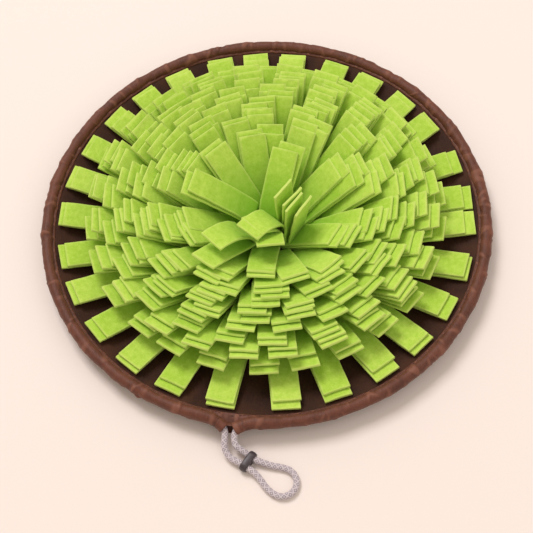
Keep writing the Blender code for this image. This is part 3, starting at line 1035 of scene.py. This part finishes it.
@dataclass
class BaseCloth:
    """The round brown cloth: flat on the floor in its middle, turned up at its edge."""

    flat_radius: float = 0.130
    edge_radius: float = 0.2140
    true_edge: float = 0.2122
    edge_rise: float = 0.0165
    rise_power: float = 2.2
    thickness: float = 0.0014
    flat_size: float = 0.430
    pull_start: float = 0.150
    pull_reach: float = 0.063
    pull: float = 0.00028
    pull_counts: tuple[int, ...] = (17, 29, 43, 61)
    seed: int = 5
    stations: int = 46
    sides: int = 480
    finish: WovenFinish = WovenFinish(
        Slot.BASE, colour(66, 35, 19), colour(44, 22, 11), colour(84, 48, 28), 190.0, 0.78, 0.04
    )

    def underside(self, radius: Array) -> Array:
        """Return the cloth's underside: rise x share^power past the flat middle."""
        share = (radius - self.flat_radius) / (self.true_edge - self.flat_radius)
        return self.edge_rise * np.clip(share, 0.0, 1.0) ** self.rise_power

    def surface(self) -> Surface:
        """Turn the cloth's outline round the middle, with soft pulls towards the gathered edge.

        The outline runs out along the underside and back along the top. The pulls lift both by
        the same amount, a sum of sine waves round the mat that grows towards the edge.

        Returns:
            The closed cloth.
        """
        dice = np.random.default_rng(self.seed)
        out = np.linspace(0.002, 1.0, self.stations) ** 0.7 * self.edge_radius
        radius = np.concatenate([out, out[::-1]])
        top = np.concatenate([np.zeros(self.stations), np.ones(self.stations)])
        angle = turns(self.sides)
        grow = np.clip((radius - self.pull_start) / self.pull_reach, 0.0, 1.0) ** 1.5
        pulls = np.zeros(self.sides)
        for count in self.pull_counts:
            pulls += np.sin(count * angle + dice.uniform(0.0, FULL_TURN)) * dice.uniform(0.5, 1.0)
        lift = self.pull * grow[:, None] * (pulls[None, :] + 2.0) * 0.5
        height = (self.underside(radius) + top * self.thickness)[:, None] + lift
        rings = outward(angle)[None, :, :] * radius[:, None, None] + upward(height)
        # crests of the pulls, where the cloth gets its painted highlight
        crest = np.clip(0.5 + pulls[None, :] * 0.25, 0.0, 1.0) * grow[:, None]
        return Surface.swept(rings, {"crest": crest})

    def build(self) -> None:
        """Make the cloth and tie it to the frame."""
        made = self.surface().piece("base_cloth_dish", self.finish.material(), 60.0)
        declare(made, "base_mat")
        LOG.info("base cloth: %d faces", len(made.data.polygons))


# ---------------------------------------------------------------- the gathered casing


@dataclass
class Casing:
    """The gathered tube of cloth round the edge, open at the front for the drawcord."""

    mat_radius: float = 0.225
    tube: float = 0.006
    height: float = 0.019
    gap_angle: float = math.radians(258.2)
    mouth_offset: float = 0.0050
    mouth_bulge: float = 0.0060
    mouth_drop: float = 0.0032
    mouth_reach: float = 0.0190
    folds: int = 330
    fold_widths: tuple[float, float] = (0.0010, 0.0042)
    fold_slant: float = 0.0022
    fold_strengths: tuple[float, float] = (0.00020, 0.00075)
    fold_reach: float = 0.02
    slack: float = 0.00035
    fade_length: float = 0.012
    flare: float = 0.0005
    flare_length: float = 0.0022
    mouth_seam: float = 0.0075
    seam_depth: float = 0.0003
    seam_width: float = 0.0009
    seed: int = 23
    stations: int = 1500
    sides: int = 44
    hem_inner: float = 0.2112
    hem_outer: float = 0.2150
    hem_stations: int = 1100
    cut_width: float = 0.040
    inner_wall: float = 0.0042
    inner_stations: int = 260
    slit_reach: float = 1.7
    slit_arc: tuple[float, float] = (95.0, 305.0)
    slit_insets: tuple[float, float] = (0.0009, 0.0015)
    lip: tuple[tuple[float, float], ...] = (
        (0.0003, -0.0006), (0.0008, -0.0008), (0.0012, -0.0004), (0.0015, 0.0006),
    )
    swells: tuple[tuple[float, float, float], ...] = (
        (0.00025, 95.0, 0.0), (0.00020, 211.0, 1.3),
    )
    finish: WovenFinish = WovenFinish(
        Slot.CASING, colour(116, 68, 50), colour(84, 46, 33), colour(144, 94, 74), 260.0, 0.52, 0.16
    )

    @property
    def line_radius(self) -> float:
        """Return the radius of the tube's middle line."""
        return self.mat_radius - self.tube

    @property
    def half_gap(self) -> float:
        """Return half the angle of the opening."""
        return self.mouth_offset / self.line_radius

    def middle(self, angle: Array | float) -> Array:
        """Return the tube's middle line, with both mouths dragged outwards and down.

        The drag is (1 - distance from the mouth / reach)^2, and it is added to the radius and
        taken from the height.

        Args:
            angle: where round the mat.

        Returns:
            The points, with the shape of angle and a last axis of 3.
        """
        angle = np.asarray(angle, dtype=float)
        away = np.abs((angle - self.gap_angle + math.pi) % FULL_TURN - math.pi)
        along = np.maximum(0.0, away - self.half_gap) * self.line_radius
        drag = np.maximum(0.0, 1.0 - along / self.mouth_reach) ** 2
        radius = self.line_radius + self.mouth_bulge * drag
        return outward(angle) * radius[..., None] + upward(self.height - self.mouth_drop * drag)

    def gathers(self, run: Array, turn: Array, reach: float) -> tuple[Array, Array]:
        """Return how far the gathers push the cloth out, and how far each point is on a crest.

        Each fold is a narrow ridge, exp(-(distance / width)^2), across the tube at its own
        slant, higher on one part of the tube than elsewhere; every third is a crease instead.

        Args:
            run: distance round the mat at each station, in metres.
            turn: angle round the tube, 0 outwards and a quarter turn upwards.
            reach: the whole distance round the mat.

        Returns:
            The push in metres and the crest from 0 to 1, (stations, sides).
        """
        dice = np.random.default_rng(self.seed)
        push = np.zeros((len(run), len(turn)))
        crest = np.zeros_like(push)
        for number in range(self.folds):
            centre = dice.uniform(0.0, reach)
            width = dice.uniform(*self.fold_widths)
            slant = dice.normal(0.0, self.fold_slant)
            facing = dice.uniform(0.0, FULL_TURN)
            way = -1.0 if number % 3 == 0 else 1.0
            strength = dice.uniform(*self.fold_strengths) * way
            near = np.abs(run - centre) < self.fold_reach
            swing = np.cos(turn - facing)
            distance = run[near, None] - centre - slant * (turn - math.pi)[None, :]
            fold = np.exp(-((distance / width) ** 2)) * (0.5 + 0.5 * swing)[None, :] ** 1.5
            push[near] += strength * fold
            crest[near] += way * fold
        return push, np.clip(crest, 0.0, 1.0)

    def surface(self) -> Surface:
        """Carry the tube's section round the mat and turn it in at both mouths.

        The section is a circle plus the gathers, which fade at the hemmed mouths. There the
        wall rolls over a lip and runs back inside the whole tube to the other mouth.

        Returns:
            The closed tube.
        """
        first, last = self.gap_angle + self.half_gap, self.gap_angle + FULL_TURN - self.half_gap
        angle = first + (last - first) * np.linspace(0.0, 1.0, self.stations)
        run = (angle - first) * self.line_radius
        turn = turns(self.sides)
        push, crest = self.gathers(run, turn, run[-1])
        to_mouth = np.minimum(run, run[-1] - run)
        fade = np.clip(to_mouth / self.fade_length, 0.15, 1.0)
        slow = sum(size * np.sin(run * often + shift) for size, often, shift in self.swells)
        seam = self.seam_depth * np.exp(-(((to_mouth - self.mouth_seam) / self.seam_width) ** 2))
        flare = self.flare * np.exp(-((to_mouth / self.flare_length) ** 2))
        size = self.tube - self.slack + push * fade[:, None]
        size = size + (slow * fade + flare - seam)[:, None]
        place = self.middle(angle)
        sideways, up = tube_frames(place)
        back = self.middle(np.linspace(last, first, self.inner_stations))
        back_side, back_up = (way[::-1] for way in tube_frames(back[::-1]))
        wall = np.full((self.inner_stations, self.sides), self.inner_wall)
        inner = self.ring(back, back_side, back_up, turn, wall)[1:-1]

        whole = np.concatenate([
            self.ring(place, sideways, up, turn, size),
            self.rolled(last, -1.0, self.lip, sideways[-1:], up[-1:]),
            inner,
            self.rolled(first, 1.0, self.lip[::-1], sideways[:1], up[:1]),
        ])
        values = np.zeros(whole.shape[:2])
        # crests of the gathers, where the tube gets its painted highlight
        values[:self.stations] = crest
        return Surface.swept(whole, {"crest": values}, looped=True)

    def rolled(
        self, angle: float, way: float, lip: Sequence[tuple[float, float]], side: Array, up: Array
    ) -> Array:
        """Roll the wall in at one mouth, a ring for each row of the lip's table.

        A ring's radius is the tube's less the row's inset, and it lies the row's depth inside.

        Args:
            angle: where the mouth is.
            way: 1 where the tube runs anticlockwise from the mouth, or -1.
            lip: the insets and depths.
            side: the sideways direction at the mouth, (1, 3).
            up: the upwards direction at the mouth, (1, 3).

        Returns:
            The rings, (rows, sides, 3).
        """
        inset, depth = np.array(lip).T
        centre = self.middle(angle + way * depth / self.line_radius)
        size = np.repeat((self.tube - inset)[:, None], self.sides, axis=1)
        side, up = np.tile(side, (len(lip), 1)), np.tile(up, (len(lip), 1))
        return self.ring(centre, side, up, turns(self.sides), size)

    @staticmethod
    def ring(middle: Array, sideways: Array, up: Array, turn: Array, size: Array) -> Array:
        """Return rings of points, middle + size (cos(turn) sideways + sin(turn) up).

        Args:
            middle: the middles, (n, 3).
            sideways: the first directions, (n, 3).
            up: the second directions, (n, 3).
            turn: the angles round each ring, (m,).
            size: the radii, (n, m).

        Returns:
            The points, (n, m, 3).
        """
        spoke = np.cos(turn)[None, :, None] * sideways[:, None, :]
        spoke = spoke + np.sin(turn)[None, :, None] * up[:, None, :]
        return middle[:, None, :] + spoke * size[:, :, None]

    @staticmethod
    def pucker(angle: Array) -> Array:
        """Return how far the hem puckers, 0.22 sin(171 angle) + 0.18 sin(97 angle + 2) mm."""
        return 0.00022 * np.sin(angle * 171.0) + 0.00018 * np.sin(angle * 97.0 + 2.0)

    def hem(self, base: BaseCloth) -> Surface:
        """Turn the flat hem that lies on the base inside the tube, all the way round.

        Its section is a thin rounded rectangle on the base cloth, which puckers with a sine
        wave round the mat. At the opening it reaches out and down as far as the tube does.

        Args:
            base: the cloth that it is sewn to.

        Returns:
            The closed hem.
        """
        angle = turns(self.hem_stations)
        reach = np.linalg.norm(self.middle(angle)[:, :2], axis=1) - self.line_radius
        share = np.array([0.0, 0.15, 0.6, 1.0, 1.0, 0.6, 0.15, 0.0])
        level = np.array([0.9, 1.25, 1.45, 1.6, 0.4, 0.3, 0.2, 0.3]) * 0.001
        pucker = self.pucker(angle)
        width = self.hem_outer - self.hem_inner + reach
        radius = self.hem_inner + share[None, :] * width[:, None]
        height = base.underside(radius) + base.thickness + level[None, :]
        height = height - share[None, :] * (reach * self.mouth_drop / self.mouth_bulge)[:, None]
        rings = outward(angle)[:, None, :] * (radius + pucker[:, None])[:, :, None]
        rings = rings + upward(height + pucker[:, None] * 0.8)
        # crests of the puckers, where the hem gets its painted highlight
        crest = np.clip(np.tile(0.3 + 2000.0 * pucker[:, None], (1, len(share))), 0.0, 1.0)
        return Surface.swept(rings, {"crest": crest}, looped=True)

    def slit(self) -> Surface:
        """Carry the tube's inner and lower wall across the opening, behind the cord.

        Its section is an arc of the tube from the top of its inner side to its underside, as a
        thin wall: out along one radius and back along a smaller one.

        Returns:
            The closed wall.
        """
        angle = self.gap_angle + np.linspace(-1.0, 1.0, 25) * self.slit_reach * self.half_gap
        line = self.middle(angle)
        sideways, up = tube_frames(line)
        arc = np.radians(np.linspace(*self.slit_arc, 22))
        turn = np.concatenate([arc, arc[::-1]])
        size = self.tube - np.repeat(self.slit_insets, len(arc))
        rings = self.ring(line, sideways, up, turn, np.tile(size, (len(angle), 1)))
        return Surface.swept(rings, {"crest": np.zeros(rings.shape[:2])})

    def build(self, base: BaseCloth) -> None:
        """Make the tube and its hem and tie them to the frame.

        Args:
            base: the cloth that the hem is sewn to.
        """
        cloth = self.finish.material()
        tube = self.surface().piece("rim_casing_tube", cloth, 60.0)
        hem = self.hem(base).piece("rim_casing_hem", cloth, 60.0)
        slit = self.slit().piece("rim_casing_slit", cloth, 60.0)
        declare(tube, "rim_casing")
        declare(hem)
        declare(slit)
        LOG.info("casing: %d faces", len(tube.data.polygons))


@dataclass
class Stitching:
    """The rows of machine stitches: along the hem and across both ends of the casing."""

    casing: Casing
    base: BaseCloth
    pitch: float = 0.0034
    stitch: float = 0.0026
    thread: float = 0.00032
    hem_inset: float = 0.0013
    sunk: float = 0.00040
    finish: ThreadFinish = ThreadFinish()

    def stitches(self, middles: Array, headings: Array, ups: Array) -> Surface:
        """Make one small stitch at each place.

        A stitch is a spindle: its ring at share s has the radius thread x (sin(pi s))^0.5, and
        its ends dip into the cloth by half a thread.

        Args:
            middles: the stitches' middles, (n, 3).
            headings: the way that they run, (n, 3).
            ups: the directions away from the cloth, (n, 3).

        Returns:
            All the stitches as one surface.
        """
        share = np.array([0.03, 0.2, 0.5, 0.8, 0.97])
        turn = turns(6)
        size = self.thread * np.sqrt(np.sin(math.pi * share))
        dip = -0.5 * self.thread * (2.0 * share - 1.0) ** 2
        parts = []
        for middle, heading, up in zip(middles, headings, ups):
            side = np.cross(heading, up)
            line = middle + heading * ((share - 0.5) * self.stitch)[:, None] + up * dip[:, None]
            spoke = np.cos(turn)[None, :, None] * side + np.sin(turn)[None, :, None] * up
            parts.append(Surface.swept(line[:, None, :] + spoke * size[:, None, None], {}))
        return Surface.joined(parts)

    def hem_row(self) -> Surface:
        """Return the row of stitches along the hem."""
        casing = self.casing
        radius = casing.hem_inner + self.hem_inset
        count = int(FULL_TURN * radius / self.pitch)
        angle = casing.gap_angle + casing.half_gap + np.arange(1, count - 3) * self.pitch / radius
        pucker = casing.pucker(angle)
        height = self.base.underside(np.array(radius)) + self.base.thickness
        height = height + self.hem_inset + pucker * 0.8
        middles = outward(angle) * (radius + pucker)[:, None] + upward(height)
        ups = np.tile(upward(), (len(angle), 1))
        return self.stitches(middles, around(angle), ups)

    def mouth_rows(self) -> Surface:
        """Return the stitches that run round the tube just inside both mouths."""
        casing = self.casing
        parts = []
        for side in (1.0, -1.0):
            mouth = casing.gap_angle + side * casing.half_gap
            angle = mouth + side * casing.mouth_seam / casing.line_radius
            line = casing.middle(np.array([angle - 0.002, angle, angle + 0.002]))
            sideways, up = tube_frames(line)
            turn = np.arange(-0.9, 3.9, self.pitch / casing.tube)
            spoke = np.cos(turn)[:, None] * sideways[1] + np.sin(turn)[:, None] * up[1]
            along = -np.sin(turn)[:, None] * sideways[1] + np.cos(turn)[:, None] * up[1]
            parts.append(self.stitches(line[1] + spoke * (casing.tube - self.sunk), along, spoke))
        return Surface.joined(parts)

    def build(self) -> None:
        """Make the thread."""
        whole = Surface.joined([self.hem_row(), self.mouth_rows()])
        thread = whole.piece("casing_stitches", self.finish.material())
        declare(thread)
        LOG.info("stitches: %d faces", len(thread.data.polygons))


# ---------------------------------------------------------------- drawcord and toggle


@dataclass
class Toggle:
    """The two-hole slider on the cord, an oval of moulded plastic with soft edges."""

    length: float = 0.021
    height: float = 0.0106
    depth: float = 0.0068
    hole_offset: float = 0.0052
    hole_radius: float = 0.00335
    mouth_ease: float = 0.0005
    centre: tuple[float, float, float] = (-0.0310, -0.2497, 0.0056)
    turn: float = math.radians(51.7)
    softness: float = 0.0013
    sides: int = 96
    layers: int = 27
    hole_sides: int = 40
    hole_layers: int = 21
    power: float = 2.4
    finish: PlasticFinish = PlasticFinish()

    @property
    def axes(self) -> tuple[Array, Array]:
        """Return the long axis and the axis of the holes."""
        return outward(self.turn), -around(self.turn)

    def frame(self, along: Array, height: Array, depth: Array) -> Array:
        """Return points from distances on the long axis, upwards and on the holes' axis.

        Args:
            along: distances on the long axis.
            height: distances upwards.
            depth: distances on the axis of the holes.

        Returns:
            The points.
        """
        long_axis, hole_axis = self.axes
        place = along[..., None] * long_axis + depth[..., None] * hole_axis
        return np.array(self.centre) + place + upward(height)

    def body(self) -> Surface:
        """Carry the oval through the slider's depth, smaller towards both faces.

        The oval has two straight sides and round ends. At share t of the half depth it is
        drawn in by softness (1 - (1 - |t|^power)^(1 / power)).

        Returns:
            The closed body, without its holes.
        """
        turn = turns(self.sides)
        share = np.sin(np.linspace(-0.5 * math.pi, 0.5 * math.pi, self.layers))
        drawn = self.softness * (1.0 - (1.0 - np.abs(share) ** self.power) ** (1.0 / self.power))
        round_end = (self.height * 0.5 - drawn)[:, None]
        straight = (self.length - self.height) * 0.5 * np.sign(np.cos(turn))[None, :]
        along = straight + round_end * np.cos(turn)[None, :]
        height = round_end * np.sin(turn)[None, :]
        depth = np.tile((share * self.depth * 0.5)[:, None], (1, len(turn)))
        return Surface.swept(self.frame(along, height, depth), {})

    def hole(self, side: float) -> Surface:
        """Return the rod that cuts one hole, a little wider at both faces.

        Args:
            side: 1 or -1, which hole.

        Returns:
            The closed rod.
        """
        turn = turns(self.hole_sides)
        share = np.linspace(-1.0, 1.0, self.hole_layers)
        eased = np.clip(np.abs(share) * 5.0 - 2.6, 0.0, 1.0) ** 2
        radius = self.hole_radius + self.mouth_ease * eased
        along = side * self.hole_offset + radius[:, None] * np.cos(turn)[None, :]
        depth = np.tile((share * self.depth)[:, None], (1, len(turn)))
        return Surface.swept(self.frame(along, radius[:, None] * np.sin(turn)[None, :], depth), {})

    def build(self) -> Piece:
        """Make the slider and cut its holes.

        Returns:
            The finished piece.
        """
        plastic = self.finish.material()
        made = self.body().piece("cord_toggle_body", plastic, 60.0)
        rods = [self.hole(side).piece("hole_rod", plastic) for side in (-1.0, 1.0)]
        for rod in rods:
            cut = made.modifiers.new("hole", "BOOLEAN")
            cut.operation, cut.solver, cut.object = "DIFFERENCE", "EXACT", rod
        graph = bpy.context.evaluated_depsgraph_get()
        whole = bpy.data.meshes.new_from_object(made.evaluated_get(graph))
        made.modifiers.clear()
        made.data = whole
        for rod in rods:
            bpy.data.objects.remove(rod)
        whole.polygons.foreach_set("use_smooth", np.ones(len(whole.polygons), dtype=bool))
        whole.set_sharp_from_angle(angle=math.radians(50.0))
        declare(made, "cord_toggle")
        LOG.info("toggle: %d faces", len(whole.polygons))
        return made


@dataclass
class Drawcord:
    """The braided cord, from one mouth out through the toggle, round its loop and back."""

    casing: Casing
    toggle: Toggle
    radius: float = 0.003
    bend_radius: float = 0.0123
    bend_fall: float = 0.38
    leaving: tuple[tuple[float, float, float], ...] = (
        (0.0034, 0.2318, 0.0), (0.0052, 0.2307, -45.0),
    )
    first_turn: float = 60.0
    turn_step: float = 15.0
    lip_turn: float = math.radians(29.0)
    hidden: float = 0.0085
    hug: float = 0.0011
    out: tuple[tuple[float, float, float], ...] = (
        (-0.0517, -0.2345, 0.0098), (-0.0505, -0.2396, 0.0074), (-0.0476, -0.2442, 0.0060),
        (-0.0434, -0.2476, 0.0056),
    )
    loop: tuple[tuple[float, float, float], ...] = (
        (-0.0252, -0.2612, 0.0047), (-0.0208, -0.2670, 0.0035), (-0.0164, -0.2740, 0.0032),
        (-0.0112, -0.2797, 0.0032), (-0.0049, -0.2834, 0.0032), (0.0024, -0.2833, 0.0032),
        (0.0085, -0.2793, 0.0032), (0.0116, -0.2727, 0.0032), (0.0107, -0.2654, 0.0032),
        (0.0061, -0.2597, 0.0032), (-0.0012, -0.2565, 0.0032), (-0.0088, -0.2546, 0.0034),
        (-0.0162, -0.2520, 0.0046),
    )
    step: float = 0.00030
    sides: int = 40
    strands: int = 6
    lay_length: float = 0.0165
    relief: float = 0.00022
    finish: BraidFinish = BraidFinish()

    def mouth_run(self, side: float) -> Array:
        """Return the cord's points from inside one mouth to beside the gap's middle line.

        The cord hugs the tube's inner side, crosses to its outer side on an arc, and leaves
        the arc beside the gap's middle line, or after it has turned back from there:
        across = beside + R (1 - cos t), and out = leaving radius - R sin t. It falls as it goes.

        Args:
            side: 1 for the mouth that is anticlockwise of the gap, -1 for the other.

        Returns:
            The points, (n, 3).
        """
        casing = self.casing
        mouth = casing.gap_angle + side * casing.half_gap
        inside = mouth + side * self.hidden / casing.line_radius
        run = [casing.middle(inside) - outward(inside) * self.hug]
        ahead, across = outward(casing.gap_angle), around(casing.gap_angle) * side
        nearest, leaving, last = self.leaving[side > 0.0]
        for turn in np.radians(np.arange(self.first_turn, last - 1.0, -self.turn_step)):
            beside = nearest + self.bend_radius * (1.0 - math.cos(turn))
            out = leaving - self.bend_radius * math.sin(turn)
            past = max(0.0, self.lip_turn - turn) * self.bend_radius
            depth = 0.0 if past else beside - casing.mouth_offset
            height = casing.middle(mouth + side * depth / casing.line_radius)[2]
            run.append(ahead * out + across * beside + upward(height - past * self.bend_fall))
        return np.array(run)

    def route(self) -> Array:
        """Return the points that the cord runs through, from mouth to mouth."""
        toggle = self.toggle
        centre = np.array(toggle.centre)
        long_axis, hole_axis = toggle.axes
        reach = hole_axis * toggle.depth * 0.75
        there = centre - long_axis * toggle.hole_offset
        back = centre + long_axis * toggle.hole_offset
        return np.vstack([
            self.mouth_run(-1.0), self.out, there - reach, there, there + reach, self.loop,
            back + reach, back, back - reach, self.mouth_run(1.0)[::-1],
        ])

    def surface(self, line: Array) -> Surface:
        """Carry a braided section along the line.

        Two families of strands wind both ways, and each is a wave of the tube's turn plus or
        minus the lay: |cos(n (turn + lay) / 2)| and the same with a minus. Which family is on
        top changes from cell to cell, as sin(n turn / 2) sin(n lay / 2) does, and the radius
        follows the top one. Painted shade lies in the grooves, where that one is low.

        Args:
            line: the cord's middle line, (n, 3).

        Returns:
            The closed cord.
        """
        turn = turns(self.sides)[None, :]
        lay = (FULL_TURN * distances(line) / self.lay_length)[:, None]
        one = np.abs(np.cos(0.5 * self.strands * (turn + lay)))
        two = np.abs(np.cos(0.5 * self.strands * (turn - lay)))
        cells = np.sin(0.5 * self.strands * turn) * np.sin(0.5 * self.strands * lay)
        over = 0.5 + 0.5 * np.tanh(3.0 * cells)
        plump = over * one + (1.0 - over) * two
        size = self.radius - self.relief + self.relief * 1.35 * plump
        sideways, up = tube_frames(line)
        rings = Casing.ring(line, sideways, up, turn[0], size)
        # painted shade: darker where the top strand is low, in the braid's grooves
        fleck = np.clip(1.25 - 1.75 * plump, 0.0, 1.0)
        return Surface.swept(rings, {"fleck": fleck})

    def build(self, slider: Piece) -> None:
        """Make the cord and tie it to the frame.

        Args:
            slider: the piece that slides on it; not used.
        """
        line = smooth_line(self.route(), self.step)
        made = self.surface(line).piece("drawcord_braid", self.finish.material(), 80.0)
        declare(made, "drawcord")


# ---------------------------------------------------------------- studio


@dataclass
class Studio:
    """The pale floor, the soft lights and the camera."""

    floor_size: float = 8.0
    floor_tone: Colour = colour(246, 238, 232)
    floor_patch: Colour = colour(243, 232, 222)
    elevation: float = math.radians(60.60)
    roll: float = math.radians(-3.84)
    distance: float = 1.176
    target: tuple[float, float, float] = (-0.0025, -0.0556, 0.019)
    lens: float = 81.24
    sensor: float = 36.0
    key_place: tuple[float, float, float] = (-1.40, 2.15, 4.30)
    key_power: float = 136.0
    key_size: float = 2.0
    key_tone: Colour = colour(255, 249, 250)
    fill_place: tuple[float, float, float] = (0.9, -0.6, 1.4)
    fill_power: float = 3.5
    fill_size: float = 1.6
    fill_tone: Colour = colour(250, 248, 255)
    sky: float = 0.60
    sky_tone: Colour = colour(255, 240, 226)

    def floor(self) -> None:
        """Lay a wide plain floor with a very slow change of tone."""
        grid = np.linspace(-0.5, 0.5, 3) * self.floor_size
        x, y = np.meshgrid(grid, grid)
        points = np.stack([x, y, np.zeros_like(x)], axis=-1).reshape(-1, 3)
        corner = np.array([0, 1, 3, 4])
        faces = np.stack([corner, corner + 1, corner + 4, corner + 3], axis=-1)
        mesh = bpy.data.meshes.new("studio_floor")
        mesh.from_pydata(points.tolist(), [], faces.tolist())
        nodes = Nodes("studio_floor_finish")
        patch = nodes.spread(nodes.noise(nodes.place(), 1.4, 1.0), 0.3, 0.7, 0.0, 0.25)
        tone = nodes.blend(patch, self.floor_tone, self.floor_patch)
        mesh.materials.append(nodes.dress(Base_Color=tone, Roughness=0.7, Specular_IOR_Level=0.2))
        linked("studio_floor", mesh)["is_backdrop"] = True

    def light(
        self, name: str, place: Sequence[float], power: float, size: float, tone: Colour
    ) -> None:
        """Hang a soft square light that faces the mat.

        Args:
            name: the light's name.
            place: where it hangs.
            power: its strength in watts.
            size: the length of its side.
            tone: its colour.
        """
        lamp = bpy.data.lights.new(name, "AREA")
        lamp.energy, lamp.size, lamp.color = power, size, tone[:3]
        made = linked(name, lamp)
        made.location = place
        made.rotation_euler = (-Vector(place)).to_track_quat("-Z", "Y").to_euler()

    def camera(self) -> None:
        """Stand the camera over the front, looking down at the mat and slightly rolled."""
        sin_e, cos_e = math.sin(self.elevation), math.cos(self.elevation)
        sin_r, cos_r = math.sin(self.roll), math.cos(self.roll)
        level, rise = Vector((1.0, 0.0, 0.0)), Vector((0.0, sin_e, cos_e))
        behind = Vector((0.0, -cos_e, sin_e))
        right, above = level * cos_r + rise * sin_r, rise * cos_r - level * sin_r
        lens = bpy.data.cameras.new("camera")
        lens.lens, lens.sensor_width, lens.clip_start = self.lens, self.sensor, 0.01
        made = linked("camera", lens)
        turn = Matrix((right, above, behind)).transposed().to_4x4()
        made.matrix_world = Matrix.Translation(Vector(self.target) + behind * self.distance) @ turn
        bpy.context.scene.camera = made

    def sky_light(self) -> None:
        """Fill the room with a soft even light."""
        world = bpy.data.worlds.new("studio_world")
        world.use_nodes = True
        background = world.node_tree.nodes["Background"]
        background.inputs["Color"].default_value = self.sky_tone
        background.inputs["Strength"].default_value = self.sky
        bpy.context.scene.world = world

    def build(self) -> None:
        """Set up the whole studio."""
        self.camera()
        self.floor()
        self.light("key_light", self.key_place, self.key_power, self.key_size, self.key_tone)
        self.light("fill_light", self.fill_place, self.fill_power, self.fill_size, self.fill_tone)
        self.sky_light()
        bpy.context.scene.view_settings.view_transform = "Standard"
        LOG.info("studio ready")


# ---------------------------------------------------------------- the mat


def main() -> tuple[list[float], list[float]]:
    """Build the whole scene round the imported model.

    Returns:
        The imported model's lowest and highest corners.
    """
    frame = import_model()
    LOG.info("packed nodes: %d", len(frame["nodes"]))
    packed = [list(corner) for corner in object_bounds()]
    Studio().build()
    casing = Casing()
    base = BaseCloth()
    toggle = Toggle()
    Drawcord(casing, toggle).build(toggle.build())
    base.build()
    casing.build(base)
    Stitching(casing, base).build()
    FeltField().build()
    return packed


if __name__ == "__main__":
    logging.basicConfig(level=logging.INFO, format="%(name)s: %(message)s")
    packed_box = main()
